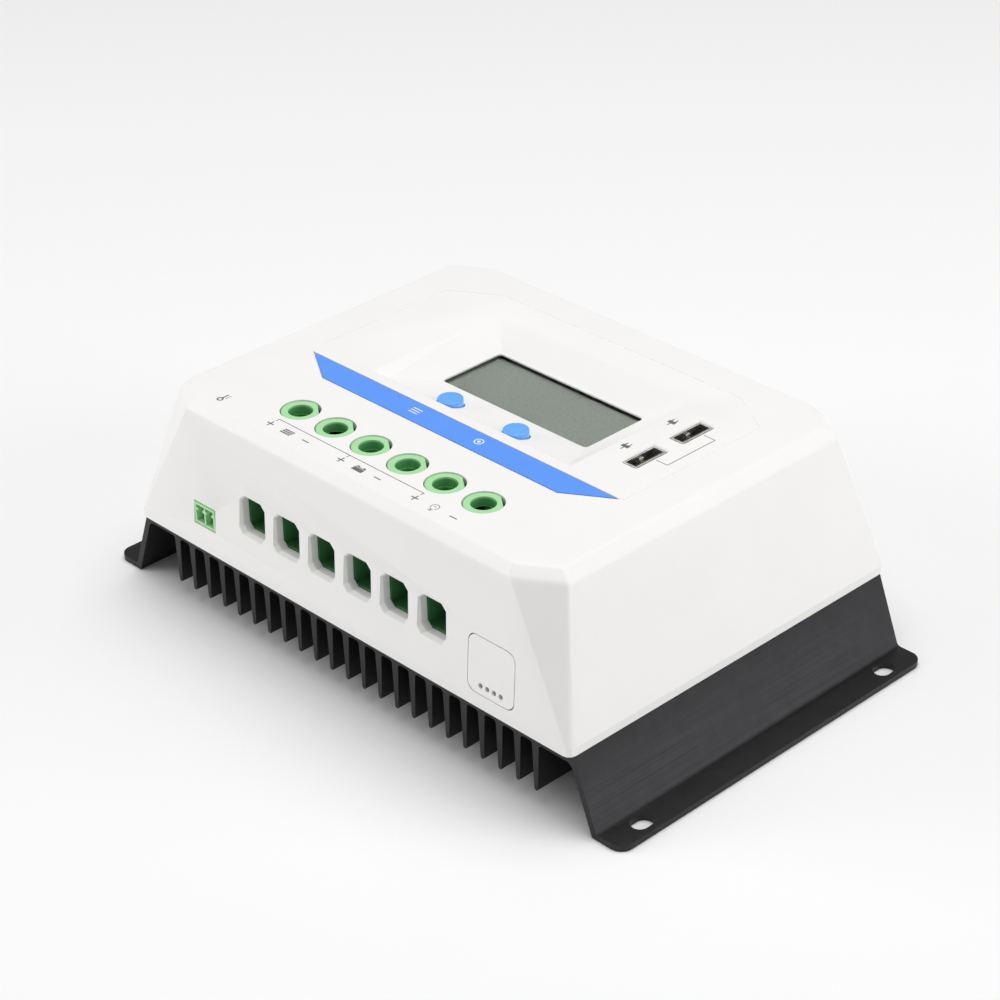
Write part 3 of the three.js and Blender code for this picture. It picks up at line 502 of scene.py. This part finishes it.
def piece(name, bm, key, body=FRAME_BODY, replaces=(), smooth_angle=32):
    """Turns a bmesh into a finished piece that rides on a body."""
    bmesh.ops.recalc_face_normals(bm, faces=bm.faces)
    mesh = bpy.data.meshes.new(name)
    bm.to_mesh(mesh)
    bm.free()
    mesh.shade_smooth()
    mesh.set_sharp_from_angle(angle=math.radians(smooth_angle))
    mesh.materials.append(finish(key))
    obj = bpy.data.objects.new(name, mesh)
    bpy.context.scene.collection.objects.link(obj)
    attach(obj, body)
    if replaces:
        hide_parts(*replaces)
    return obj


def node_bmesh(node):
    """A CAD node's solid with its flat faces whole again."""
    bm = bmesh.new()
    bm.from_mesh(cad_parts[node].data)
    bmesh.ops.remove_doubles(bm, verts=bm.verts, dist=2e-6)
    bmesh.ops.dissolve_limit(bm, angle_limit=math.radians(0.7), verts=bm.verts, edges=bm.edges)
    return bm


def soften(obj, width, angle=30):
    """Rounds every edge sharper than angle, by width in metres."""
    bevel = obj.modifiers.new("rounded edges", "BEVEL")
    bevel.width = width
    bevel.segments = 2
    bevel.limit_method = "ANGLE"
    bevel.angle_limit = math.radians(angle)
    bevel.harden_normals = True
    bevel.miter_outer = "MITER_ARC"
    return obj


def refined(node, name, key, width, body=FRAME_BODY, angle=30):
    """A CAD node's solid with its edges rounded, standing for the node."""
    return soften(piece(name, node_bmesh(node), key, body, (node,)), width, angle)


def loft(rings, closed_ends=True):
    """A bmesh skin through rings that all have the same number of points."""
    bm = bmesh.new()
    rows = [[bm.verts.new(p) for p in ring] for ring in rings]
    count = len(rows[0])
    for low, high in zip(rows, rows[1:]):
        for i in range(count):
            j = (i + 1) % count
            bm.faces.new((low[i], low[j], high[j], high[i]))
    if closed_ends:
        bm.faces.new(list(reversed(rows[0])))
        bm.faces.new(rows[-1])
    return bm


def lathe(profile, x, y, steps=48):
    """A solid of revolution about a vertical axis at x, y; profile is (radius, z) from axis to axis."""
    bm = bmesh.new()
    rows = []
    for radius, z in profile:
        if radius == 0:
            rows.append([bm.verts.new((x, y, z))])
            continue
        turn = [FULL_TURN * i / steps for i in range(steps)]
        rows.append([bm.verts.new((x + radius * math.cos(a), y + radius * math.sin(a), z)) for a in turn])
    for low, high in zip(rows, rows[1:]):
        for i in range(steps):
            j = (i + 1) % steps
            corners = [low[i % len(low)], low[j % len(low)], high[j % len(high)], high[i % len(high)]]
            bm.faces.new(list(dict.fromkeys(corners)))
    return bm


def merge(target, source):
    """Adds source's faces to target and frees source."""
    mesh = bpy.data.meshes.new("part")
    source.to_mesh(mesh)
    source.free()
    target.from_mesh(mesh)
    bpy.data.meshes.remove(mesh)
    return target


def prism(outline, z0, z1):
    """An outline in X and Y, raised from z0 to z1."""
    bm = bmesh.new()
    bottom = bm.faces.new([bm.verts.new((x, y, z0)) for x, y in outline])
    raised = bmesh.ops.extrude_face_region(bm, geom=[bottom])
    bmesh.ops.translate(
        bm, vec=(0, 0, z1 - z0), verts=[v for v in raised["geom"] if isinstance(v, bmesh.types.BMVert)]
    )
    return bm


def rounded_box(low, high, width):
    """A bmesh box between two corners, every edge rounded by width."""
    bm = prism([(low[0], low[1]), (high[0], low[1]), (high[0], high[1]), (low[0], high[1])], low[2], high[2])
    bmesh.ops.bevel(
        bm, geom=bm.edges, offset=width, segments=2, profile=0.5, affect="EDGES", clamp_overlap=True
    )
    return bm


def arc(x, y, radius, start, end, steps):
    """Points on an arc, angles in degrees."""
    angles = [math.radians(start + (end - start) * i / steps) for i in range(steps + 1)]
    return [(x + radius * math.cos(a), y + radius * math.sin(a)) for a in angles]


def carve(bm, other, operation):
    """The boolean of two closed bmeshes, as a new bmesh."""
    objects = []
    for source in (bm, other):
        mesh = bpy.data.meshes.new("carve")
        bmesh.ops.recalc_face_normals(source, faces=source.faces)
        source.to_mesh(mesh)
        source.free()
        obj = bpy.data.objects.new("carve", mesh)
        bpy.context.scene.collection.objects.link(obj)
        objects.append(obj)
    modifier = objects[0].modifiers.new("carve", "BOOLEAN")
    modifier.object = objects[1]
    modifier.operation = operation
    modifier.solver = "MANIFOLD"
    evaluated = objects[0].evaluated_get(bpy.context.evaluated_depsgraph_get())
    result = bmesh.new()
    result.from_mesh(evaluated.to_mesh())
    evaluated.to_mesh_clear()
    for obj in objects:
        mesh = obj.data
        bpy.data.objects.remove(obj)
        bpy.data.meshes.remove(mesh)
    return result


# ---------------------------------------------------------------- cover


def corner_ring(half_x, half_y, cut_x, cut_y, radius, z, steps=5):
    """A ring with four cut corners, each end of each cut rounded by radius."""
    slant = math.degrees(math.atan2(cut_x, cut_y))  # how far the cut's normal turns from +X
    bend = math.radians(slant) / 2
    bend_back = math.radians(90 - slant) / 2
    trim = radius * math.tan(bend)
    trim_back = radius * math.tan(bend_back)
    first = arc(half_x - radius, half_y - cut_y - trim, radius, 0, slant, steps)
    second = arc(half_x - cut_x - trim_back, half_y - radius, radius, slant, 90, steps)
    quarter = first + second
    points = []
    for sx, sy, order in ((1, 1, 1), (-1, 1, -1), (-1, -1, 1), (1, -1, -1)):
        points += [(sx * x, sy * y) for x, y in quarter[::order]]
    return [(x, y, z) for x, y in points]


def smooth_path(points, reach):
    """A polyline of tuples whose inner corners are curves that start reach away, in z and half of X."""
    curve_steps = 6
    path = [points[0]]
    for before, corner, after, cut in zip(points, points[1:], points[2:], reach):
        def toward(end):
            length = math.hypot(end[0] - corner[0], end[1] - corner[1])
            share = min(0.5, cut / length)
            return tuple(c + (e - c) * share for c, e in zip(corner, end))

        start, stop = toward(before), toward(after)
        for i in range(curve_steps + 1):
            t = i / curve_steps
            path.append(tuple(
                (1 - t) ** 2 * a + 2 * t * (1 - t) * c + t * t * b for a, c, b in zip(start, corner, stop)
            ))
    path.append(points[-1])
    return path


class CoverSizes(bpy.types.PropertyGroup):
    """Sizes of the cover's rounded outside."""

    edge_round: FloatProperty(
        name="Edge rounding", description="How far the rounding of the top edges reaches",
        default=0.9 * MM, min=0.2 * MM, max=3 * MM, unit="LENGTH",
    )
    corner_round: FloatProperty(
        name="Corner rounding", description="Radius at each end of a cut corner",
        default=1.6 * MM, min=0.2 * MM, max=2.4 * MM, unit="LENGTH",
    )
    hole_round: FloatProperty(
        name="Hole rounding", description="Rounding of the edges of holes and grooves",
        default=0.22 * MM, min=0.05 * MM, max=0.5 * MM, unit="LENGTH",
    )
    skin_drop: FloatProperty(
        name="Skin drop", description="How far the moulded skin lies below the printed markings",
        default=0.02 * MM, min=0.005 * MM, max=0.05 * MM, unit="LENGTH",
    )


class CONTROLLER_OT_cover(bpy.types.Operator):
    """Build the moulded cover with rounded edges, and its blanking plate"""

    bl_idname = "controller.cover"
    bl_label = "Cover"

    def execute(self, context):
        sizes = context.scene.controller_cover
        low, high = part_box("cover")
        inset = sizes.skin_drop
        half_x, half_y = high.x - inset, high.y - inset
        shoulder_drop, shoulder_x, shoulder_y, *shoulder_cut = SHOULDER
        lid_drop, lid_x, lid_y, *lid_cut = LID
        middle_drop, *middle = LID_MIDDLE
        outline = [
            (low.z + inset, half_x, half_y, *SKIRT_CUT),
            (low.z + SKIRT_HEIGHT, half_x, half_y, *SKIRT_CUT),
            (TOP - shoulder_drop, shoulder_x - inset, shoulder_y - inset, *shoulder_cut),
            (TOP - lid_drop - inset, lid_x - inset, lid_y - inset, *lid_cut),
            (TOP - middle_drop - inset, *middle),
        ]
        path = smooth_path(outline, (0.6 * MM, sizes.edge_round, sizes.edge_round))
        rings = []
        for z, x, y, cut_x, cut_y in path[:-1]:
            rings.append(corner_ring(x, y, cut_x, cut_y, sizes.corner_round, z))
        smooth_form = loft(rings)
        shell = carve(node_bmesh("cover"), smooth_form, "INTERSECT")
        bmesh.ops.dissolve_limit(shell, angle_limit=math.radians(0.4), verts=shell.verts, edges=shell.edges)
        cover = piece("cover_shell", shell, "cover", replaces=("cover",), smooth_angle=28)
        soften(cover, sizes.hole_round, angle=30)
        refined("comm_port_blank", "blanking_plate", "cover", 0.3 * MM)
        return {"FINISHED"}


class CONTROLLER_OT_label(bpy.types.Operator):
    """Build the blue label strip"""

    bl_idname = "controller.label"
    bl_label = "Label strip"

    def execute(self, context):
        drop = context.scene.controller_cover.skin_drop
        bm = node_bmesh("front_label")
        for vert in bm.verts:
            if vert.co.z > TOP - drop:
                vert.co.z = TOP - drop
        strip = piece("label_strip", bm, "film", replaces=("front_label",))
        soften(strip, 0.12 * MM)
        return {"FINISHED"}


# ---------------------------------------------------------------- heat sink


class CONTROLLER_OT_heat_sink(bpy.types.Operator):
    """Build the extruded heat sink with broken edges"""

    bl_idname = "controller.heat_sink"
    bl_label = "Heat sink"

    def execute(self, context):
        refined("heat_sink", "finned_heat_sink", "anodised", 0.18 * MM, angle=35)
        for corner in range(1, 5):
            refined(
                f"cover_screw_{corner}", f"case_screw_{corner}", "zinc", 0.12 * MM
            )
        return {"FINISHED"}


# ---------------------------------------------------------------- display and buttons


class CONTROLLER_OT_display(bpy.types.Operator):
    """Build the display window, its gasket, the liquid crystal cell and what is behind them"""

    bl_idname = "controller.display"
    bl_label = "Display"

    def execute(self, context):
        refined("lcd_window", "display_window", "acrylic", 0.1 * MM)
        refined("lcd_gasket", "display_gasket", "foam", 0.2 * MM)
        refined("lcd_glass", "display_cell", "lcd", 0.1 * MM)
        self.border_and_shade()
        for node, key in (("lcd_backlight", "cover"), ("display_board", "board"), ("display_link", "epoxy")):
            dress(node, key)
        for node in ("menu_switch", "set_switch"):
            dress(node, "epoxy")
        return {"FINISHED"}

    def border_and_shade(self):
        """A black strip along the far side of the cell: partly the cell's printed black edge, partly painted
        shade for the shadow under the window's far edge.
        """
        low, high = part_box("lcd_window")
        cell_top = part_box("lcd_glass")[1].z
        width, overhang, behind = 1.7 * MM, 0.2 * MM, 0.1 * MM
        ink_gap, ink_top = 0.01 * MM, 0.06 * MM
        # Partly painted shade: the black strip also stands for the shadow under the far edge of the window.
        strip = rounded_box(
            (low.x - overhang, high.y - width, cell_top + ink_gap),
            (high.x + overhang, high.y + behind, cell_top + ink_top), 0.01 * MM,
        )
        piece("display_border_and_shade", strip, "epoxy")


class ButtonSizes(bpy.types.PropertyGroup):
    """Sizes of the two push buttons."""

    crown: FloatProperty(
        name="Crown", description="Height of the button's domed top above its rim",
        default=0.5 * MM, min=0.2 * MM, max=1.2 * MM, unit="LENGTH",
    )
    rim_round: FloatProperty(
        name="Rim rounding", description="Radius where the side meets the top",
        default=0.3 * MM, min=0.1 * MM, max=0.9 * MM, unit="LENGTH",
    )


class CONTROLLER_OT_buttons(bpy.types.Operator):
    """Build the two domed push buttons"""

    bl_idname = "controller.buttons"
    bl_label = "Buttons"

    def execute(self, context):
        sizes = context.scene.controller_buttons
        flange_reach, flange_height, chamfer = 1 * MM, 1 * MM, 0.2 * MM
        rim_turn, rim_steps, dome_steps = math.radians(72), 6, 8
        for label in ("menu", "set"):
            low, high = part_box(f"{label}_button")
            x, y = (low.x + high.x) / 2, (low.y + high.y) / 2
            flange = (high.x - low.x) / 2
            flange_top = low.z + flange_height
            side = flange - flange_reach
            rim = high.z - sizes.crown
            rounding = sizes.rim_round
            profile = [(0, low.z), (flange - chamfer, low.z), (flange, low.z + chamfer)]
            profile += [(flange, flange_top - chamfer), (flange - chamfer, flange_top)]
            profile += [(side, flange_top)]
            for i in range(rim_steps + 1):
                a = rim_turn * i / rim_steps
                profile.append((
                    side - rounding + rounding * math.cos(a), rim - rounding * 0.3 + rounding * math.sin(a)
                ))
            edge_radius, edge_z = profile[-1]
            for i in range(1, dome_steps):
                t = i / dome_steps
                profile.append((edge_radius * (1 - t), edge_z + (high.z - edge_z) * (1 - (1 - t) ** 2)))
            profile.append((0, high.z))
            piece(
                f"{label}_button_cap", lathe(profile, x, y), "button",
                f"{label}_button_body", (f"{label}_button",), smooth_angle=50,
            )
        return {"FINISHED"}


# ---------------------------------------------------------------- terminals


class CONTROLLER_OT_terminals(bpy.types.Operator):
    """Build the terminal housings with their contacts, clamping cages and screws"""

    bl_idname = "controller.terminals"
    bl_label = "Terminals"

    def execute(self, context):
        for number in range(1, TERMINALS + 1):
            refined(
                f"terminal_{number}", f"terminal_housing_{number}", "nylon", 0.3 * MM
            )
            dress(f"clamp_cage_{number}", "zinc")
            refined(
                f"clamp_screw_{number}", f"clamping_screw_{number}", "zinc", 0.15 * MM,
                body=f"screw_{number}",
            )
            refined(
                f"terminal_contact_{number}", f"contact_strip_{number}", "brass", 0.12 * MM
            )
        return {"FINISHED"}


# ---------------------------------------------------------------- sockets


class CONTROLLER_OT_sockets(bpy.types.Operator):
    """Build the two upper sockets with their contacts, and the sensor header on the front"""

    bl_idname = "controller.sockets"
    bl_label = "Sockets"

    def execute(self, context):
        for number in (1, 2):
            refined(f"usb_shell_{number}", f"socket_shell_{number}", "tin", 0.1 * MM)
            refined(f"usb_tongue_{number}", f"socket_tongue_{number}", "brown", 0.15 * MM)
            self.contacts(number)
            self.spring(number)
        refined("temp_header", "sensor_header", "nylon", 0.12 * MM)
        dress("temp_header_pins", "brass")
        dress("usb_board", "board")
        dress("usb_link", "epoxy")
        return {"FINISHED"}

    def contacts(self, number):
        """Four gold strips on the tongue of a socket."""
        low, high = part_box(f"usb_tongue_{number}")
        middle = (low.y + high.y) / 2
        tongue_face = high.x - 1.4 * MM
        thickness, gap, half_width, end, start = 0.12 * MM, 0.005 * MM, 0.5 * MM, 7.2 * MM, 0.7 * MM
        strips = bmesh.new()
        for offset in (-3.5, -1.0, 1.0, 3.5):
            y = middle + offset * MM
            strip = rounded_box(
                (tongue_face - thickness, y - half_width, high.z - end),
                (tongue_face - gap, y + half_width, high.z - start), 0.04 * MM,
            )
            merge(strips, strip)
        piece(f"socket_contacts_{number}", strips, "gold")

    def spring(self, number):
        """A bent spring that presses on a plug from the middle of the shell's wide side."""
        low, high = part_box(f"usb_shell_{number}")
        wall, thickness, half_width = 0.52 * MM, 0.14 * MM, 0.8 * MM
        bends = ((0.02, 7.0), (0.3, 4.0), (0.75, 2.0), (0.3, 0.9))  # millimetres out from the wall, and down
        y = (low.y + high.y) / 2
        rings = []
        for out, down in bends:
            x = low.x + wall + out * MM
            z = high.z - down * MM
            rings.append([
                (x, y - half_width, z), (x + thickness, y - half_width, z),
                (x + thickness, y + half_width, z), (x, y + half_width, z),
            ])
        piece(f"socket_spring_{number}", loft(rings), "tin")


# ---------------------------------------------------------------- inside


class CONTROLLER_OT_inside(bpy.types.Operator):
    """Dress the boards, power parts and spacers inside"""

    bl_idname = "controller.inside"
    bl_label = "Inside"

    def execute(self, context):
        dress("main_board", "board")
        dress("thermal_pad", "pad")
        dress("inductor", "winding")
        refined("power_transistors", "clamped_transistors", "epoxy", 0.12 * MM)
        for number in (1, 2):
            refined(f"capacitor_{number}", f"bulk_capacitor_{number}", "sleeve", 0.4 * MM)
        for number in range(1, 5):
            dress(f"board_spacer_{number}", "nylon_white")
        return {"FINISHED"}


# ---------------------------------------------------------------- markings


class MarkingSizes(bpy.types.PropertyGroup):
    """Sizes of the printed markings."""

    line: FloatProperty(
        name="Line width", description="Width of the bracket lines",
        default=0.26 * MM, min=0.1 * MM, max=0.6 * MM, unit="LENGTH",
    )
    sign_size: FloatProperty(
        name="Sign size", description="Width of a plus or minus sign",
        default=2.7 * MM, min=1 * MM, max=4 * MM, unit="LENGTH",
    )
    sign_line: FloatProperty(
        name="Sign line", description="Thickness of the bars in a sign",
        default=0.42 * MM, min=0.2 * MM, max=0.8 * MM, unit="LENGTH",
    )


class Marking:
    """Flat printed shapes, drawn in millimetres and raised a hair above the moulded skin."""

    def __init__(self, drop):
        self.bm = bmesh.new()
        self.low = TOP - drop + 0.002 * MM
        self.high = TOP - 0.002 * MM

    def shape(self, points):
        """A filled outline."""
        merge(self.bm, prism([(x * MM, y * MM) for x, y in points], self.low, self.high))

    def bar(self, x0, y0, x1, y1, width):
        """A straight bar between two points."""
        along = Vector((x1 - x0, y1 - y0)).normalized()
        side = Vector((-along.y, along.x)) * width / 2
        a, b = Vector((x0, y0)), Vector((x1, y1))
        self.shape([a + side, b + side, b - side, a - side])

    def ring(self, x, y, radius, width, start=0, end=360):
        """Part of a ring, as short pieces."""
        steps = 20
        outer = arc(x, y, radius + width / 2, start, end, steps)
        inner = arc(x, y, radius - width / 2, start, end, steps)
        for i in range(steps):
            self.shape([inner[i], outer[i], outer[i + 1], inner[i + 1]])


class CONTROLLER_OT_markings(bpy.types.Operator):
    """Print the terminal signs, brackets and pictograms"""

    bl_idname = "controller.markings"
    bl_label = "Markings"

    def execute(self, context):
        sizes = context.scene.controller_markings
        drop = context.scene.controller_cover.skin_drop
        self.line = sizes.line / MM
        self.sign = sizes.sign_size / MM
        self.sign_line = sizes.sign_line / MM
        piece("terminal_markings", self.terminal_marks(Marking(drop)).bm, "ink")
        piece("socket_markings", self.socket_marks(Marking(drop)).bm, "ink")
        piece("button_markings", self.button_marks(Marking(drop)).bm, "white_ink")
        return {"FINISHED"}

    def terminal_marks(self, ink):
        """Brackets, plus and minus signs, a pictogram for each pair of terminals, and the sensor's sign."""
        centres = []
        for number in range(1, TERMINALS + 1):
            low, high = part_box(f"clamp_screw_{number}")
            centres.append((low.x + high.x) / 2 / MM)
        ink.bar(centres[0], BRACKET_Y, centres[-2], BRACKET_Y, self.line)
        for x in centres[::2]:
            ink.bar(x, BRACKET_Y + self.line / 2, x, BRACKET_Y - BRACKET_TICK, self.line)
        sign_y = TERMINAL_SIGN_Y
        half = self.sign / 2
        for index, x in enumerate(centres):
            ink.bar(x - half, sign_y, x + half, sign_y, self.sign_line)
            if index % 2 == 0:
                for s in SIGNS:
                    ink.bar(x, sign_y + s * self.sign_line / 2, x, sign_y + s * half, self.sign_line)
        pairs = [(centres[i] + centres[i + 1]) / 2 for i in (0, 2, 4)]
        self.panel(ink, pairs[0], sign_y)
        self.battery(ink, pairs[1], sign_y)
        self.lamp(ink, pairs[2], sign_y)
        self.thermometer(ink, SENSOR_SIGN_X, sign_y)
        return ink

    def panel(self, ink, x, y):
        """A leaning panel divided into cells."""
        for i in range(4):
            for j in range(3):
                x0, y0 = x - 2.0 + i * 1.0 + (j - 1) * 0.12, y - 1.25 + j * 0.85
                ink.shape([(x0, y0), (x0 + 0.8, y0), (x0 + 0.9, y0 + 0.65), (x0 + 0.1, y0 + 0.65)])

    def battery(self, ink, x, y):
        """A filled battery with two posts."""
        ink.shape([(x - 2.0, y - 1.3), (x + 2.0, y - 1.3), (x + 2.0, y + 0.3), (x - 2.0, y + 0.3)])
        ink.shape([(x - 2.0, y + 0.5), (x + 2.0, y + 0.5), (x + 2.0, y + 0.8), (x - 2.0, y + 0.8)])
        for s in SIGNS:
            ink.bar(x + s * 1.2, y + 0.8, x + s * 1.2, y + 1.3, 0.8)

    def lamp(self, ink, x, y):
        """A lamp bulb."""
        ink.ring(x, y + 0.4, 1.25, 0.22, -55, 235)
        for level in (-1.0, -1.4, -1.8):
            ink.bar(x - 0.55, y + level, x + 0.55, y + level, 0.22)
        ink.bar(x - 0.5, y + 0.3, x, y + 0.7, 0.2)
        ink.bar(x, y + 0.7, x + 0.5, y + 0.3, 0.2)

    def thermometer(self, ink, x, y):
        """A thermometer, for the sensor's header below."""
        ink.ring(x, y - 0.6, 0.8, 0.5)
        ink.bar(x, y, x, y + 2.6, 0.5)
        for i in range(3):
            ink.bar(x + 0.7, y + 0.8 + i * 0.75, x + 1.5, y + 0.8 + i * 0.75, 0.22)

    def socket_marks(self, ink):
        """A plug beside each socket, and a bracket that joins the two."""
        beside, along = SOCKET_SIGN_OFFSET
        for number in (1, 2):
            low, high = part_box(f"usb_shell_{number}")
            self.plug(ink, low.x / MM + beside, (low.y + high.y) / 2 / MM + along)
        left, right = SOCKET_BRACKET_X
        first, second = SOCKET_BRACKET_Y
        ink.bar(left, first, right, first, self.line)
        ink.bar(right, first - self.line / 2, right, second + self.line / 2, self.line)
        ink.bar(left, second, right, second, self.line)
        return ink

    def plug(self, ink, x, y):
        """A two-pin plug on a lead."""
        ink.shape([(x - 1.3, y - 0.9), (x + 1.3, y - 0.9), (x + 1.3, y + 0.5), (x - 1.3, y + 0.5)])
        for s in SIGNS:
            ink.bar(x + s * 0.7, y + 0.5, x + s * 0.7, y + 1.7, 0.36)
        ink.bar(x, y - 0.9, x, y - 2.2, 0.36)

    def button_marks(self, ink):
        """Three lines for the menu button and a ring for the set button, on the label strip."""
        left, right = MENU_LINES_X
        for level in (-1, 0, 1):
            y = BUTTON_SIGN_Y + level * 1.1
            ink.bar(left, y, right, y, 0.36)
        ink.ring(SET_RING_X, BUTTON_SIGN_Y, 1.35, 0.36)
        ink.ring(SET_RING_X, BUTTON_SIGN_Y, 0.3, 0.5)
        return ink


# ---------------------------------------------------------------- stage


class StageSizes(bpy.types.PropertyGroup):
    """The camera and the lights."""

    turn: FloatProperty(
        name="Camera turn", description="Direction the camera looks, from +Y towards -X",
        default=math.radians(46.607), subtype="ANGLE",
    )
    rise: FloatProperty(
        name="Camera rise", description="How far the camera looks down",
        default=math.radians(30.291), subtype="ANGLE",
    )
    roll: FloatProperty(
        name="Camera roll", description="Turn of the picture about the line of sight",
        default=math.radians(-1.428), subtype="ANGLE",
    )
    place: FloatVectorProperty(
        name="Camera place", description="Where the camera stands",
        default=(0.497957, -0.472301, 0.438065), subtype="TRANSLATION", unit="LENGTH",
    )
    lens: FloatProperty(
        name="Focal length", description="Focal length on a 36 mm sensor",
        default=98.545, min=10, unit="CAMERA",
    )
    sky: FloatProperty(
        name="Room light", description="Strength of the even light from all round", default=0.325, min=0
    )


def softbox(name, place, target, size, watts):
    """A square soft light at place that points at target."""
    light = bpy.data.lights.new(name, "AREA")
    light.energy = watts
    light.shape = "SQUARE"
    light.size = size
    obj = bpy.data.objects.new(name, light)
    bpy.context.scene.collection.objects.link(obj)
    obj.location = place
    obj.rotation_euler = (Vector(target) - Vector(place)).to_track_quat("-Z", "Y").to_euler()
    return obj


class CONTROLLER_OT_stage(bpy.types.Operator):
    """Set up the floor, the soft lights and the camera"""

    bl_idname = "controller.stage"
    bl_label = "Stage"

    def execute(self, context):
        stage = context.scene.controller_stage
        self.camera(context, stage)
        self.floor()
        self.lights(context, stage)
        return {"FINISHED"}

    def camera(self, context, stage):
        """The camera, from its place and its three angles."""
        turn, rise, roll = stage.turn, stage.rise, stage.roll
        right = Vector((math.cos(turn), math.sin(turn), 0))
        ahead = Vector((-math.sin(turn) * math.cos(rise), math.cos(turn) * math.cos(rise), -math.sin(rise)))
        up = right.cross(ahead)
        across = right * math.cos(roll) + up * math.sin(roll)
        upward = up * math.cos(roll) - right * math.sin(roll)
        data = bpy.data.cameras.new("camera")
        data.lens = stage.lens
        data.sensor_width = 36
        data.clip_start = 0.01
        obj = bpy.data.objects.new("camera", data)
        context.scene.collection.objects.link(obj)
        turned = Matrix((across, upward, -ahead)).transposed().to_4x4()
        obj.matrix_world = Matrix.Translation(Vector(stage.place)) @ turned
        context.scene.camera = obj

    def floor(self):
        """A wide sweep of paper, level under the controller and rising gently far away."""
        turns = [FULL_TURN * i / FLOOR_STEPS for i in range(FLOOR_STEPS)]
        rings = []
        for radius, z in FLOOR_RINGS:
            rings.append([(radius * math.cos(a), radius * math.sin(a), z - FLOOR_GAP) for a in turns])
        bm = loft(rings, closed_ends=False)
        bm.verts.ensure_lookup_table()
        bm.faces.new(bm.verts[:FLOOR_STEPS])
        mesh = bpy.data.meshes.new("paper_floor")
        bm.to_mesh(mesh)
        bm.free()
        mesh.materials.append(finish("paper"))
        obj = bpy.data.objects.new("paper_floor", mesh)
        bpy.context.scene.collection.objects.link(obj)

    def lights(self, context, stage):
        """Even light from all round, and the soft lights."""
        world = bpy.data.worlds.new("studio")
        context.scene.world = world
        world.use_nodes = True
        tree = world.node_tree
        tree.nodes.clear()
        glow = add_node(tree, "ShaderNodeBackground", in_Color=(1, 1, 1, 1), in_Strength=stage.sky)
        output = add_node(tree, "ShaderNodeOutputWorld")
        tree.links.new(glow.outputs[0], output.inputs[0])
        for settings in LIGHTS:
            softbox(*settings)
        context.scene.view_settings.view_transform = "Standard"


# ---------------------------------------------------------------- panel and registration


class ControllerColours(bpy.types.PropertyGroup):
    """Colours of the controller's finishes, and of the shade painted into the terminal bores."""

    cover: FloatVectorProperty(
        name="Cover", description="White of the moulded cover",
        default=linear("#f6f5f3"), subtype="COLOR", min=0, max=1,
    )
    heat_sink: FloatVectorProperty(
        name="Heat sink", description="Dyed aluminium",
        default=linear("#2c2c2e"), subtype="COLOR", min=0, max=1,
    )
    label: FloatVectorProperty(
        name="Label", description="Printed strip",
        default=linear("#5c9bff"), subtype="COLOR", min=0, max=1,
    )
    button: FloatVectorProperty(
        name="Buttons", description="Push buttons",
        default=linear("#68b0ff"), subtype="COLOR", min=0, max=1,
    )
    terminal: FloatVectorProperty(
        name="Terminals", description="Terminal nylon on the top and the front",
        default=linear("#aee6ab"), subtype="COLOR", min=0, max=1,
    )
    # Painted shade: a darker green for the shade in the upper bores, not a colour of the nylon.
    terminal_bore_shade: FloatVectorProperty(
        name="Terminal bores", description="Terminal nylon in the upper bores",
        default=linear("#5fb269"), subtype="COLOR", min=0, max=1,
    )
    # Painted shade: a darker green still, for the deeper shade below the ledge in the bores.
    terminal_deep_shade: FloatVectorProperty(
        name="Terminals inside", description="Terminal nylon below the ledge in the bores",
        default=linear("#3f7a49"), subtype="COLOR", min=0, max=1,
    )
    screen: FloatVectorProperty(
        name="Screen", description="Liquid crystal cell",
        default=linear("#b6bdb0"), subtype="COLOR", min=0, max=1,
    )
    ink: FloatVectorProperty(
        name="Ink", description="Grey markings",
        default=linear("#6b6b6f"), subtype="COLOR", min=0, max=1,
    )


OPERATORS = (
    CONTROLLER_OT_cover,
    CONTROLLER_OT_label,
    CONTROLLER_OT_heat_sink,
    CONTROLLER_OT_display,
    CONTROLLER_OT_buttons,
    CONTROLLER_OT_terminals,
    CONTROLLER_OT_sockets,
    CONTROLLER_OT_inside,
    CONTROLLER_OT_markings,
    CONTROLLER_OT_stage,
)

GROUPS = {
    "controller_colours": ControllerColours,
    "controller_cover": CoverSizes,
    "controller_buttons": ButtonSizes,
    "controller_markings": MarkingSizes,
    "controller_stage": StageSizes,
}


class CONTROLLER_PT_panel(bpy.types.Panel):
    """Lists the sizes, the colours and the pieces"""

    bl_idname = "CONTROLLER_PT_panel"
    bl_label = "Charge controller"
    bl_space_type = "VIEW_3D"
    bl_region_type = "UI"
    bl_category = "Controller"

    def draw(self, context):
        for name, group in GROUPS.items():
            box = self.layout.box()
            for prop in group.__annotations__:
                box.prop(getattr(context.scene, name), prop)
        for operator in OPERATORS:
            self.layout.operator(operator.bl_idname)


CLASSES = (*GROUPS.values(), *OPERATORS, CONTROLLER_PT_panel)


def register():
    for cls in CLASSES:
        bpy.utils.register_class(cls)
    for name, group in GROUPS.items():
        setattr(bpy.types.Scene, name, PointerProperty(type=group))


def unregister():
    for name in GROUPS:
        delattr(bpy.types.Scene, name)
    for cls in reversed(CLASSES):
        bpy.utils.unregister_class(cls)


def main():
    register()
    for operator in OPERATORS:
        category, name = operator.bl_idname.split(".")
        getattr(getattr(bpy.ops, category), name)()


if __name__ == "__main__":
    main()
